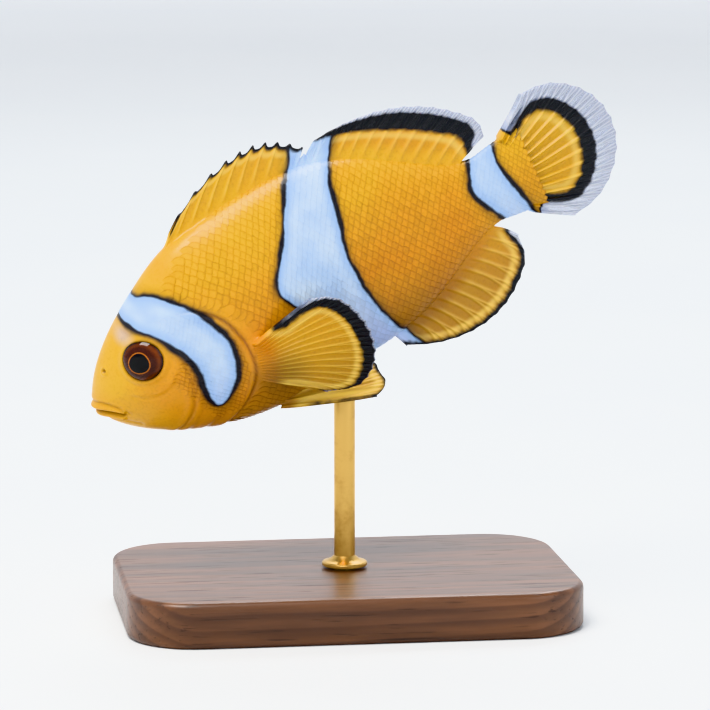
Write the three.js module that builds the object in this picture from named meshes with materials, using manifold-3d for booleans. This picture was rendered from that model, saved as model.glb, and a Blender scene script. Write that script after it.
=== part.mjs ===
// A still, life-size clown anemonefish, nose down and banked a little, held over a plain display stand.
// Millimetres, +Z up. The fish faces -Y with its left flank towards +X, and the origin is the centre
// of the stand base's underside. The fish is first laid out straight: "along" runs back from the
// snout, "left" and "up" are measured from its middle line. fishPoint() then curves and tilts it.
import * as THREE from 'three';
import Module from 'manifold-3d';
import { mergeVertices } from 'three/addons/utils/BufferGeometryUtils.js';

// ---- The fish as a whole ---------------------------------------------------------------------
const STANDARD_LENGTH = 63;   // snout to the root of the tail fin
const GAP = 0.3;              // the thin cut left between neighbouring pieces
const NOSE_DOWN = 26;         // degrees
const BANK = 12;              // degrees that the back leans over towards the left flank

// The swimming curve as [place, degrees] pairs, eased from one to the next: how far the spine heads
// to the left of straight back, and how far it climbs.
const WAG = [[8, 13], [26, -11], [43, 5], [60, -5]];
const BOW = [[10, 7], [32, 0]];
const SPINE_STEP = 0.5;

// ---- Half profiles of the body: back, belly and flank --------------------------------------------
// full: the greatest distance from the middle line, reached at peak. blunt and round shape the
// snout, stalk is the distance at the thinnest place, and hold keeps the body full behind its peak.
const BACK = { full: 15.2, peak: 30.5, blunt: 2, round: 0.72, stalk: 5.1, hold: 1.65 };
const BELLY = { full: 13.4, peak: 28.5, blunt: 2, round: 0.63, stalk: 4.9, hold: 1.85 };
const FLANK = { full: 6.4, peak: 19, blunt: 2.2, round: 0.55, stalk: 1.7, hold: 1.15 };
const STALK_AT = 59.5;        // the thinnest place of the tail stalk
const TAIL_FLARE = 0.16;      // how fast the stalk deepens again towards the tail fin
const NAPE = { along: 19, rise: 0.8, spread: 5.5 };  // the arch of the back behind the head
const BACK_KEEL = 1.06;       // powers of the section: above 1 is keeled, below 1 is full
const BELLY_KEEL = 0.9;
const MIDDLE_SHARE = 0.15;    // height of the widest line, as a share of back minus belly
const LEAST_RADIUS = 0.05;

// ---- Where the body is parted ----------------------------------------------------------------------
const GILL_CUT = { along: 21, bend: 0.024 };  // the cut runs forward above and below mid height
const STALK_CUT = 57.4;
const MOUTH = { tipUp: -0.3, dip: 0.4, cornerAlong: 4.1, cornerUp: -2.1 };
const JAW = { hingeAlong: 8, hingeUp: -7.2, back: 8.6 };
const GILL_COVER = { along: 16.3, up: -1.9, halfLength: 3.9, halfHeight: 6.3, thickness: 1.2 };
const CLEAR = { ahead: -6, behind: 85, side: 16, height: 24 };  // blocks that cut reach this far

// ---- Eyes ----------------------------------------------------------------------------------------
const EYE = { along: 10.1, up: 4.1, radius: 2.85, halfThickness: 1.6, proud: 0.75 };

// ---- Fins. Rays fan out from a root line, in degrees from straight back ----------------------------
// A ray's length at share u of the fan is least + swell * sin(pi * (start + run * u)). rounded is how
// much shorter the first and the last ray are, and corner is the share of the fan that this reaches.
const FIN = { webHalf: 0.26, webShare: 0.72, tipHalf: 0.33, taper: 0.7, rootSink: 1.2, corner: 0.17 };
const SPINY_DORSAL = {
  rays: 10, from: 17.5, to: 37.6, leanFrom: 50, leanTo: 60, sweep: -8, notch: 0.1,
  least: 3.6, swell: 5.2, start: 0.2, run: 0.78, rootHalf: 0.55, rounded: [0, 0],
};
const SOFT_DORSAL = {
  rays: 14, from: 38.4, to: 56.8, leanFrom: 58, leanTo: 36, sweep: -12, notch: 0.015,
  least: 4.4, swell: 4.9, start: 0.02, run: 0.76, rootHalf: 0.6, rounded: [0, 0.24],
};
const ANAL = {
  rays: 13, from: 39.8, to: 56.8, leanFrom: 52, leanTo: 32, sweep: -12, notch: 0.015,
  least: 3.6, swell: 6.1, start: 0.02, run: 0.78, rootHalf: 0.6, rounded: [0.1, 0.24],
};
const TAIL = {
  rays: 15, fan: 37, sweep: 2, notch: 0.012, rootHalfHeight: 5.2,
  least: 7.8, swell: 7.6, start: 0, run: 1, rootHalf: 1.45, rounded: [0.1, 0.1],
};
const PECTORAL = {
  rays: 15, fan: 29, sweep: 0, notch: 0.015, rootHalfHeight: 2.6, along: 22.2, up: -4, inset: 0,
  least: 8.2, swell: 9, start: 0.12, run: 0.74, rootHalf: 0.75, rounded: [0.2, 0.16],
  splay: 17, droop: 13, tilt: -9,
};
const PELVIC = {
  rays: 6, fan: 15, sweep: 6, notch: 0.03, rootHalfHeight: 1.3, along: 22.4, up: -11.3, inset: 1.6,
  least: 9.4, swell: 7, start: 0.5, run: 0.42, rootHalf: 0.75, rounded: [0.12, 0.1],
  splay: 12, droop: 10, tilt: 34,
};

// ---- Display stand -----------------------------------------------------------------------------------
const BASE = { length: 60, width: 40, height: 6, corner: 9, cornerSteps: 5, edge: 0.8, edgeSteps: 2 };
const ROD = { radius: 1.4, foot: 3, footHeight: 1.4, tip: 0.5, inBase: 3.4, inBelly: 3.2 };
const ROD_AT = 32.5;          // the place along the belly that the rod holds
const BELLY_HEIGHT = 33;      // height of that place over the floor

// ---- Fineness of the facets ----------------------------------------------------------------------------
const BODY_STATIONS = 32;
const BODY_SIDES = 22;
const STATION_CROWDING = 1.6; // stations crowd towards the snout
const SLICE_LEVELS = 12;       // facets of a cut, up and across
const SLICE_STEPS = 6;
const FIN_ROWS = 3;
const ROUND_SIDES = 14;
const MERGE = 1e-4;

const wasm = await Module();
wasm.setup();

// ==== Making and joining solids ==========================================================================

/** Turns a closed geometry into a solid that can be cut and joined. */
function toSolid(geometry) {
  const bare = geometry.index ? geometry.toNonIndexed() : geometry.clone();
  bare.deleteAttribute('normal');
  bare.deleteAttribute('uv');
  const merged = mergeVertices(bare, MERGE);
  return new wasm.Manifold(new wasm.Mesh({
    numProp: 3,
    vertProperties: new Float32Array(merged.attributes.position.array),
    triVerts: new Uint32Array(merged.index.array),
  }));
}

/** Turns a solid back into a geometry. */
function toGeometry(solid) {
  const { vertProperties, triVerts } = solid.getMesh();
  const geometry = new THREE.BufferGeometry();
  geometry.setAttribute('position', new THREE.BufferAttribute(new Float32Array(vertProperties), 3));
  geometry.setIndex(new THREE.BufferAttribute(new Uint32Array(triVerts), 1));
  geometry.computeVertexNormals();
  return geometry;
}

/** Triangles of one closed end of a loft: strips between the two halves of its ring. */
function endStrips(first, sides, facing) {
  const index = [];
  for (let side = 0; side + 1 < sides / 2; side += 1) {
    const near = [first + side, first + side + 1];
    const far = [first + sides - 1 - side, first + sides - 2 - side];
    const strip = [near[0], far[0], far[1], near[0], far[1], near[1]];
    index.push(...(facing > 0 ? strip : strip.reverse()));
  }
  return index;
}

/** Skins a row of equal rings of points and closes both ends. */
function loft(rings) {
  const sides = rings[0].length;
  const index = [];
  for (let row = 0; row + 1 < rings.length; row += 1) {
    for (let side = 0; side < sides; side += 1) {
      const near = row * sides + side;
      const nearNext = row * sides + (side + 1) % sides;
      index.push(near, nearNext, nearNext + sides, near, nearNext + sides, near + sides);
    }
  }
  index.push(...endStrips(0, sides, 1), ...endStrips((rings.length - 1) * sides, sides, -1));
  const geometry = new THREE.BufferGeometry();
  const places = rings.flat().flatMap((point) => point.toArray());
  geometry.setAttribute('position', new THREE.Float32BufferAttribute(places, 3));
  geometry.setIndex(index);
  return geometry;
}

/** A lofted solid with its faces out, whichever way its rings run. */
function loftSolid(rings) {
  const solid = toSolid(loft(rings));
  return solid.volume() > 0 ? solid : toSolid(loft([...rings].reverse()));
}

// ==== The fish's own form =================================================================================

/** Mixes two numbers. */
function mix(from, to, share) {
  return from + (to - from) * share;
}

/** A smooth step from 0 to 1. */
function ease(share) {
  const held = THREE.MathUtils.clamp(share, 0, 1);
  return held * held * (3 - 2 * held);
}

/** A signed power, which keeps the side of the middle line. */
function signedPower(value, power) {
  return Math.sign(value) * Math.abs(value) ** power;
}

/** An angle in radians, eased between the [place, degrees] pairs of a curve. */
function angleAt(curve, along) {
  let angle = curve[0][1];
  for (let knot = 1; knot < curve.length; knot += 1) {
    const [from, start] = curve[knot - 1];
    const [to, end] = curve[knot];
    angle += (end - start) * ease((along - from) / (to - from));
  }
  return THREE.MathUtils.degToRad(angle);
}

/** The direction in which the spine runs back, as left, back and up. */
function spineDirection(along) {
  const turn = angleAt(WAG, along);
  const climb = angleAt(BOW, along);
  return new THREE.Vector3(
    Math.sin(turn) * Math.cos(climb),
    Math.cos(turn) * Math.cos(climb),
    Math.sin(climb),
  );
}

/** The spine's place, found by stepping along it from the rod's place. */
function spineAt(along) {
  const steps = Math.max(1, Math.round(Math.abs(along - ROD_AT) / SPINE_STEP));
  const step = (along - ROD_AT) / steps;
  const spot = new THREE.Vector3();
  for (let count = 0; count < steps; count += 1) {
    spot.addScaledVector(spineDirection(ROD_AT + step * (count + 0.5)), step);
  }
  return spot;
}

const POSTURE = new THREE.Matrix4()
  .makeRotationX(THREE.MathUtils.degToRad(NOSE_DOWN))
  .multiply(new THREE.Matrix4().makeRotationY(THREE.MathUtils.degToRad(BANK)));

/** Curves and tilts a point of the straight fish, about the place on the spine over the rod. */
function tilted(along, left, up) {
  const turn = angleAt(WAG, along);
  const leftward = new THREE.Vector3(Math.cos(turn), -Math.sin(turn), 0);
  const upward = new THREE.Vector3().crossVectors(leftward, spineDirection(along));
  return spineAt(along)
    .addScaledVector(leftward, left)
    .addScaledVector(upward, up)
    .applyMatrix4(POSTURE);
}

/** How far the skin lies from the middle line at one place along it. */
function reachOf(profile, along) {
  if (along < profile.peak) {
    const lead = (1 - Math.max(along, 0) / profile.peak) ** profile.blunt;
    return profile.full * (1 - lead) ** profile.round;
  }
  const run = Math.min((along - profile.peak) / (STALK_AT - profile.peak), 1) ** profile.hold;
  return mix(profile.full, profile.stalk, ease(run));
}

/** The back, belly and flank distances at one place, and the height of the widest line. */
function halfSizes(along) {
  const flare = TAIL_FLARE * Math.max(along - STALK_AT, 0);
  const arch = NAPE.rise * Math.exp(-(((along - NAPE.along) / NAPE.spread) ** 2));
  const back = reachOf(BACK, along) + flare + arch;
  const belly = reachOf(BELLY, along) + flare;
  return { back, belly, flank: reachOf(FLANK, along), middle: MIDDLE_SHARE * (back - belly) };
}

/** A point of the straight skin. turn is 0 on the left flank and a quarter turn on the back. */
function skinSpot(along, turn, grow = 0) {
  const size = halfSizes(along);
  const onBack = Math.sin(turn) >= 0;
  const height = (onBack ? size.back - size.middle : size.belly + size.middle) + grow;
  const keel = onBack ? BACK_KEEL : BELLY_KEEL;
  return {
    left: Math.max(size.flank + grow, LEAST_RADIUS) * signedPower(Math.cos(turn), keel),
    up: size.middle + Math.max(height, LEAST_RADIUS) * signedPower(Math.sin(turn), keel),
  };
}

/** The turn at which the left flank's skin is at a height. */
function turnAtHeight(along, up) {
  const size = halfSizes(along);
  const onBack = up >= size.middle;
  const height = onBack ? size.back - size.middle : size.belly + size.middle;
  const keel = onBack ? BACK_KEEL : BELLY_KEEL;
  return Math.asin(signedPower((up - size.middle) / height, 1 / keel));
}

const HELD = tilted(ROD_AT, 0, -halfSizes(ROD_AT).belly);
const LIFT = new THREE.Vector3(-HELD.x, -HELD.y, BELLY_HEIGHT - HELD.z);

/** A point of the straight fish, set in its place over the stand. */
function fishPoint(along, left, up) {
  return tilted(along, left, up).add(LIFT);
}

/** The whole body from the snout past the tail fin's root, grown or shrunk by a margin. */
function bodySolid(grow) {
  const rings = [];
  for (let station = 0; station <= BODY_STATIONS; station += 1) {
    const along = (STANDARD_LENGTH + 1) * (station / BODY_STATIONS) ** STATION_CROWDING;
    const ring = [];
    for (let side = 0; side < BODY_SIDES; side += 1) {
      const spot = skinSpot(along, 2 * Math.PI * (side + 0.5) / BODY_SIDES, grow);
      ring.push(fishPoint(along, spot.left, spot.up));
    }
    rings.push(ring);
  }
  return loftSolid(rings);
}

/** A block of the fish between two cuts, each given as a place along for every height. */
function sliceSolid(fromCut, toCut) {
  const rings = [];
  for (let level = 0; level <= SLICE_LEVELS; level += 1) {
    const up = mix(-CLEAR.height, CLEAR.height, level / SLICE_LEVELS);
    const front = [];
    const rear = [];
    for (let step = 0; step <= SLICE_STEPS; step += 1) {
      const left = mix(-CLEAR.side, CLEAR.side, step / SLICE_STEPS);
      front.push(fishPoint(fromCut(up), left, up));
      rear.unshift(fishPoint(toCut(up), left, up));
    }
    rings.push([...front, ...rear]);
  }
  return loftSolid(rings);
}

/** An outline in along and up, pushed through the fish from one side distance to another. */
function outlineSolid(shape, leftFrom, leftTo) {
  const geometry = new THREE.ExtrudeGeometry(shape, {
    depth: leftTo - leftFrom,
    bevelEnabled: false,
    curveSegments: ROUND_SIDES,
  });
  const places = geometry.attributes.position;
  for (let index = 0; index < places.count; index += 1) {
    const left = leftFrom + places.getZ(index);
    const point = fishPoint(places.getX(index), left, places.getY(index));
    places.setXYZ(index, point.x, point.y, point.z);
  }
  return toSolid(geometry);
}

// ==== Jaw, gill covers and eyes ===========================================================================

/** The cut behind the head, which follows the gill opening. */
function gillCut(up) {
  return GILL_CUT.along - GILL_CUT.bend * up * up;
}

/** The lower jaw's share of the head, seen from the side. */
function jawShape(grow) {
  const shape = new THREE.Shape();
  shape.moveTo(CLEAR.ahead, MOUTH.tipUp + grow);
  shape.lineTo(0, MOUTH.tipUp + grow);
  shape.quadraticCurveTo(
    MOUTH.cornerAlong / 2, MOUTH.tipUp - MOUTH.dip + grow,
    MOUTH.cornerAlong + grow, MOUTH.cornerUp + grow,
  );
  shape.lineTo(JAW.hingeAlong + grow, JAW.hingeUp + grow);
  shape.lineTo(JAW.back + grow, -CLEAR.height);
  shape.lineTo(CLEAR.ahead, -CLEAR.height);
  return shape;
}

/** The lower jaw's block, right through the fish. */
function jawBlock(grow) {
  return outlineSolid(jawShape(grow), -CLEAR.side, CLEAR.side);
}

/** A gill cover on one side: the outer layer of the head inside a rounded outline. */
function gillCoverSolid(outer, side, grow) {
  const { along, up, halfLength, halfHeight, thickness } = GILL_COVER;
  const shape = new THREE.Shape();
  shape.absellipse(along, up, halfLength + grow, halfHeight + grow, 0, 2 * Math.PI);
  const [from, to] = side > 0 ? [0, CLEAR.side] : [-CLEAR.side, 0];
  return outlineSolid(shape, from, to).intersect(outer).subtract(bodySolid(-thickness - grow));
}

/** An eye on one side, a thick lens set into the cheek square to the skin. */
function eyeSolid(side, grow) {
  const step = 0.05;
  const turn = turnAtHeight(EYE.along, EYE.up);
  const skinPoint = (along, angle) => {
    const spot = skinSpot(along, angle);
    return fishPoint(along, side * spot.left, spot.up);
  };
  const backward = skinPoint(EYE.along + step, turn).sub(skinPoint(EYE.along - step, turn));
  const upward = skinPoint(EYE.along, turn + step).sub(skinPoint(EYE.along, turn - step));
  const outward = backward.cross(upward).multiplyScalar(side).normalize();
  const centre = skinPoint(EYE.along, turn).addScaledVector(outward, EYE.proud - EYE.halfThickness);
  const lens = new THREE.SphereGeometry(1, ROUND_SIDES, ROUND_SIDES / 2);
  lens.rotateX(Math.PI / 2);
  lens.scale(EYE.radius + grow, EYE.radius + grow, EYE.halfThickness + grow);
  lens.applyQuaternion(new THREE.Quaternion().setFromUnitVectors(new THREE.Vector3(0, 0, 1), outward));
  lens.translate(centre.x, centre.y, centre.z);
  return toSolid(lens);
}

// ==== Fins ================================================================================================

/** The length of a fin's ray at share u of the fan, with the fin's corners rounded off. */
function rayLength(fin, u) {
  const full = fin.least + fin.swell * Math.sin(Math.PI * (fin.start + fin.run * u));
  const first = Math.max(1 - u / FIN.corner, 0) ** 2;
  const last = Math.max(1 - (1 - u) / FIN.corner, 0) ** 2;
  return full * (1 - fin.rounded[0] * first - fin.rounded[1] * last);
}

/** One ray or web of a fin, out along one face of the blade and back along the other. */
function rayRing(fin, u, onRay, ray, lay) {
  const { p, q, angle } = ray(u);
  const length = rayLength(fin, u) * (onRay ? 1 : 1 - fin.notch);
  const near = [];
  const far = [];
  for (let row = 0; row <= FIN_ROWS; row += 1) {
    const v = row / FIN_ROWS;
    const bent = THREE.MathUtils.degToRad(angle + fin.sweep * v);
    const crest = mix(fin.rootHalf, FIN.tipHalf, v ** FIN.taper);
    const half = onRay ? crest : Math.max(FIN.webHalf, crest * FIN.webShare);
    const x = p + length * v * Math.cos(bent);
    const y = q + length * v * Math.sin(bent);
    near.push(lay(x, y, half));
    far.unshift(lay(x, y, -half));
  }
  return [...near, ...far];
}

/**
 * A fin's rays and webs as a solid. ray(u) gives the root and the angle of the ray at share u of
 * the fan, and lay(p, q, t) sets a point of the blade's own plane, at thickness t, in the fish.
 */
function finSolid(fin, ray, lay) {
  const columns = 2 * fin.rays - 2;
  const rings = [];
  for (let column = 0; column <= columns; column += 1) {
    rings.push(rayRing(fin, column / columns, column % 2 === 0, ray, lay));
  }
  return loftSolid(rings);
}

/** A fin on the middle line: side is 1 along the back and -1 along the belly. */
function middleFinSolid(fin, side) {
  const ray = (u) => {
    const along = mix(fin.from, fin.to, u);
    const size = halfSizes(along);
    const ridge = side > 0 ? size.back : size.belly;
    return {
      p: along,
      q: side * (ridge - FIN.rootSink),
      angle: side * mix(fin.leanFrom, fin.leanTo, u),
    };
  };
  return finSolid(fin, ray, (p, q, t) => fishPoint(p, t, q));
}

/** A fan of rays about one root point: the tail fin's, or a paired fin's in its own plane. */
function fanRay(fin, rootAlong) {
  return (u) => ({
    p: rootAlong,
    q: mix(-fin.rootHalfHeight, fin.rootHalfHeight, u),
    angle: mix(-fin.fan, fin.fan, u),
  });
}

/** The tail fin, which fans out from the end of the stalk. */
function tailFinSolid() {
  return finSolid(TAIL, fanRay(TAIL, STANDARD_LENGTH + GAP), (p, q, t) => fishPoint(p, t, q));
}

/** A paired fin's own plane: its direction out of the body, the way it fans, and its face. */
function finPlane(fin) {
  const [splay, droop, tilt] = [fin.splay, fin.droop, fin.tilt].map(THREE.MathUtils.degToRad);
  const out = new THREE.Vector3(
    Math.cos(splay) * Math.cos(droop),
    Math.sin(splay),
    -Math.cos(splay) * Math.sin(droop),
  ).normalize();
  const across = new THREE.Vector3(0, -Math.sin(tilt), Math.cos(tilt));
  across.addScaledVector(out, -across.dot(out)).normalize();
  return { out, across, face: new THREE.Vector3().crossVectors(out, across) };
}

/** A paired fin on one side, splayed from the body. */
function pairedFinSolid(fin, side) {
  const { out, across, face } = finPlane(fin);
  const rootLeft = skinSpot(fin.along, turnAtHeight(fin.along, fin.up)).left - fin.inset;
  const lay = (p, q, t) => {
    const spot = new THREE.Vector3(fin.along, rootLeft, fin.up)
      .addScaledVector(out, p)
      .addScaledVector(across, q)
      .addScaledVector(face, t);
    return fishPoint(spot.x, side * spot.y, spot.z);
  };
  return finSolid(fin, fanRay(fin, -FIN.rootSink), lay);
}

// ==== Stand ===============================================================================================

/** The base plate's outline, a rounded rectangle drawn in by its softened edge. */
function baseShape() {
  const x = BASE.width / 2 - BASE.corner;
  const y = BASE.length / 2 - BASE.corner;
  const corner = BASE.corner - BASE.edge;
  const shape = new THREE.Shape();
  shape.absarc(x, y, corner, 0, Math.PI / 2);
  shape.absarc(-x, y, corner, Math.PI / 2, Math.PI);
  shape.absarc(-x, -y, corner, Math.PI, 1.5 * Math.PI);
  shape.absarc(x, -y, corner, 1.5 * Math.PI, 2 * Math.PI);
  return shape;
}

/** The base plate with softened edges and a socket for the rod. */
function baseSolid() {
  const plate = new THREE.ExtrudeGeometry(baseShape(), {
    depth: BASE.height - 2 * BASE.edge,
    bevelThickness: BASE.edge,
    bevelSize: BASE.edge,
    bevelSegments: BASE.edgeSteps,
    curveSegments: BASE.cornerSteps,
  });
  plate.translate(0, 0, BASE.edge);
  const radius = ROD.radius + GAP;
  const socket = new THREE.CylinderGeometry(radius, radius, BASE.height, ROUND_SIDES);
  socket.rotateX(Math.PI / 2);
  socket.translate(0, 0, BASE.height * 1.5 - ROD.inBase - GAP);
  return toSolid(plate).subtract(toSolid(socket));
}

/** The rod with a low round foot, from its socket in the base up into the belly. */
function rodSolid(grow) {
  const seat = BASE.height + GAP;
  const top = BELLY_HEIGHT + ROD.inBelly + grow;
  const radius = ROD.radius + grow;
  const profile = [
    [0, BASE.height - ROD.inBase],
    [radius, BASE.height - ROD.inBase],
    [radius, seat],
    [ROD.foot, seat],
    [ROD.foot, seat + ROD.footHeight / 2],
    [radius, seat + ROD.footHeight],
    [radius, top - ROD.tip],
    [radius - ROD.tip, top],
    [0, top],
  ];
  const rod = new THREE.LatheGeometry(profile.map(([r, z]) => new THREE.Vector2(r, z)), ROUND_SIDES);
  rod.rotateX(Math.PI / 2);
  return toSolid(rod);
}

// ==== Putting it together =================================================================================

const FINISH = {
  amber: { color: '#d98a1c', roughness: 0.35 },
  web: { color: '#d69a2c', roughness: 0.4 },
  white: { color: '#dfe9f2', roughness: 0.35 },
  eye: { color: '#1c0f08', roughness: 0.08 },
  walnut: { color: '#4a2f1d', roughness: 0.5 },
  brass: { color: '#b08d4a', roughness: 0.3, metalness: 1 },
};

const model = new THREE.Group();

/** Adds one named piece with its own finish. */
function addPiece(name, solid, finish) {
  const mesh = new THREE.Mesh(toGeometry(solid), new THREE.MeshStandardMaterial(finish));
  mesh.name = name;
  model.add(mesh);
}

const body = bodySolid(0);
const bodyAndGap = bodySolid(GAP);
const toGills = sliceSolid(() => CLEAR.ahead, (up) => gillCut(up) - GAP / 2);
const gillsToStalk = sliceSolid((up) => gillCut(up) + GAP / 2, () => STALK_CUT - GAP / 2);
const stalkToTail = sliceSolid(() => STALK_CUT + GAP / 2, () => STANDARD_LENGTH);
const behindStalk = sliceSolid(() => STANDARD_LENGTH + GAP, () => CLEAR.behind);

const wholeHead = body.intersect(toGills);
let head = wholeHead.subtract(jawBlock(GAP));
[['left', 1], ['right', -1]].forEach(([name, side]) => {
  head = head.subtract(gillCoverSolid(bodyAndGap, side, GAP)).subtract(eyeSolid(side, GAP));
  addPiece(`gill_cover_${name}`, gillCoverSolid(wholeHead, side, 0), FINISH.white);
  addPiece(`eye_${name}`, eyeSolid(side, 0), FINISH.eye);
  addPiece(`pectoral_fin_${name}`, pairedFinSolid(PECTORAL, side).subtract(bodyAndGap), FINISH.web);
  addPiece(`pelvic_fin_${name}`, pairedFinSolid(PELVIC, side).subtract(bodyAndGap), FINISH.web);
});
addPiece('head', head, FINISH.amber);
addPiece('lower_jaw', wholeHead.intersect(jawBlock(0)), FINISH.amber);
addPiece('trunk', body.intersect(gillsToStalk).subtract(rodSolid(GAP)), FINISH.amber);
addPiece('tail_stalk', body.intersect(stalkToTail), FINISH.white);
addPiece('dorsal_fin_spiny', middleFinSolid(SPINY_DORSAL, 1).subtract(bodyAndGap), FINISH.web);
addPiece('dorsal_fin_soft', middleFinSolid(SOFT_DORSAL, 1).subtract(bodyAndGap), FINISH.web);
addPiece('anal_fin', middleFinSolid(ANAL, -1).subtract(bodyAndGap), FINISH.web);
addPiece('tail_fin', tailFinSolid().intersect(behindStalk), FINISH.web);
addPiece('stand_base', baseSolid(), FINISH.walnut);
addPiece('stand_rod', rodSolid(0), FINISH.brass);

export default model;
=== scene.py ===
"""A still, life-size clown anemonefish over a plain display stand, as a museum shows it.

The fish is laid out straight first, in millimetres: left, along (back from the snout) and up from
its middle line. Posture.place() then curves it, tilts it and sets it over the stand. Everything
that is written to a Blender mesh is in metres in the frame of the solid model.
"""

import logging
import math
from collections.abc import Callable, Sequence
from dataclasses import dataclass, field, replace
from enum import Enum

import bpy
import numpy as np
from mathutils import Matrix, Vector
from mathutils.bvhtree import BVHTree
from mathutils.kdtree import KDTree


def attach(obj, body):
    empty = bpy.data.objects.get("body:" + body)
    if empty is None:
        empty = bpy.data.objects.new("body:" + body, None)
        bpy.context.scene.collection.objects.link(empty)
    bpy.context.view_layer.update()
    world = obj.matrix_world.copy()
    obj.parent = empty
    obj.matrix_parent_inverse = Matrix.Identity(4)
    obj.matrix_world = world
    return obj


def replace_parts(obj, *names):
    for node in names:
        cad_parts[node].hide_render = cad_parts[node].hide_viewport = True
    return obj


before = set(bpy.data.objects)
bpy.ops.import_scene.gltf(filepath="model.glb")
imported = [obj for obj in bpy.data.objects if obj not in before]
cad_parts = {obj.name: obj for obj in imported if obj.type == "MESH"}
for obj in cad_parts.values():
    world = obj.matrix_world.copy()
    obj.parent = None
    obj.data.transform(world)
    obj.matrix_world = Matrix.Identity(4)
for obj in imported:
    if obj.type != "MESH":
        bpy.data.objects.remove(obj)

LOG = logging.getLogger("clownfish")
Array = np.ndarray
Number = Array | float
Pair = tuple[float, float]
Triple = tuple[float, float, float]
Colour = tuple[float, ...]
Mesh = bpy.types.Mesh
Piece = bpy.types.Object
Material = bpy.types.Material
Socket = bpy.types.NodeSocket
MM = 0.001
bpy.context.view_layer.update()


# ---- Numbers and curves ----


def ease(share: Number) -> Array:
    """A smooth step from 0 to 1."""
    held = np.clip(share, 0.0, 1.0)
    return held * held * (3 - 2 * held)


def mix(start: Number, end: Number, share: Number) -> Array:
    """Mixes two values."""
    return start + (end - start) * share


def bell(distance: Array, width: float) -> Array:
    """A bump that is 1 at no distance and dies away over a width."""
    return np.exp(-((distance / width) ** 2))


def ridge(distance: Array, height: float, at: float, width: float) -> Array:
    """A ridge at a distance from something, or a trough where its height is negative."""
    return height * bell(distance - at, width)


def signed_power(value: Array, power: Number) -> Array:
    """A power that keeps the sign."""
    return np.sign(value) * np.abs(value) ** power


def unit(vectors: Array) -> Array:
    """Vectors of length 1."""
    return vectors / np.maximum(np.linalg.norm(vectors, axis=-1, keepdims=True), 1e-12)


def point(left: Number, along: Number, up: Number) -> Array:
    """Points of the straight fish, in the order left, along, up."""
    return np.stack(np.broadcast_arrays(left, along, up), axis=-1).astype(float)


def round_turns(sides: int) -> Array:
    """The angles of a round with equal steps."""
    return np.arange(sides) * 2 * math.pi / sides


def smooth_line(knots: Sequence[Pair], steps: int, closed: bool = False) -> Array:
    """A Catmull-Rom line through a few points of the side view.

    Args:
        knots: the (along, up) points that it passes through.
        steps: how many points are made from each knot to the next.
        closed: whether it comes back to its first point.

    Returns:
        The points of the line, one a row.
    """
    base = np.array(knots, float)
    if closed:
        padded = np.vstack([base[-1:], base, base[:2]])
    else:
        padded = np.vstack([2 * base[0] - base[1], base, 2 * base[-1] - base[-2]])
    share = (np.arange(steps) / steps)[:, None]
    spans = []
    for a, b, c, d in zip(padded, padded[1:], padded[2:], padded[3:]):
        linear, square, cube = c - a, 2 * a - 5 * b + 4 * c - d, 3 * b - 3 * c + d - a
        spans.append(b + 0.5 * share * (linear + share * (square + share * cube)))
    return np.vstack(spans + ([] if closed else [base[-1:]]))


def line_distance(points: Array, line: Array) -> tuple[Array, Array, Array]:
    """How far points lie from a line of the side view.

    Args:
        points: rows of (along, up).
        line: rows of (along, up), from one end of the line to the other.

    Returns:
        The distance, 1 or -1 for the side of the line (1 to the left of its run), and the share of
        the line at the nearest place.
    """
    start, run = line[:-1], np.diff(line, axis=0)
    squared = np.maximum((run**2).sum(1), 1e-12)
    best = np.full(len(points), np.inf)
    side, place = np.ones(len(points)), np.zeros(len(points))
    for index in range(len(run)):
        offset = points - start[index]
        share = np.clip(offset @ run[index] / squared[index], 0, 1)
        distance = ((offset - share[:, None] * run[index]) ** 2).sum(1)
        nearer = distance < best
        best[nearer] = distance[nearer]
        turn = run[index, 0] * offset[:, 1] - run[index, 1] * offset[:, 0]
        side[nearer] = np.where(turn[nearer] >= 0, 1.0, -1.0)
        place[nearer] = (index + share[nearer]) / len(run)
    return np.sqrt(best), side, place


def between(grid: Array, row: Array, column: Array) -> Array:
    """Reads a grid between its points.

    Args:
        grid: the values.
        row: places along its first axis, in steps of the grid.
        column: places along its second axis.

    Returns:
        The value at each place.
    """
    row = np.clip(row, 0, grid.shape[0] - 1.001)
    column = np.clip(column, 0, grid.shape[1] - 1.001)
    i, j = row.astype(int), column.astype(int)
    near = mix(grid[i, j], grid[i + 1, j], row - i)
    return mix(near, mix(grid[i, j + 1], grid[i + 1, j + 1], row - i), column - j)


# ---- The fish's own form ----


@dataclass(frozen=True)
class Bend:
    """An angle that eases from knot to knot along the fish, as (along, degrees) pairs."""

    knots: tuple[Pair, ...]

    def at(self, along: Array) -> Array:
        """The angle in radians.

        Args:
            along: places along the fish.

        Returns:
            The angle at each place.
        """
        degrees = np.full(np.shape(along), float(self.knots[0][1]))
        for (start, first), (end, last) in zip(self.knots, self.knots[1:]):
            degrees = degrees + (last - first) * ease((along - start) / (end - start))
        return np.radians(degrees)


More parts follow.
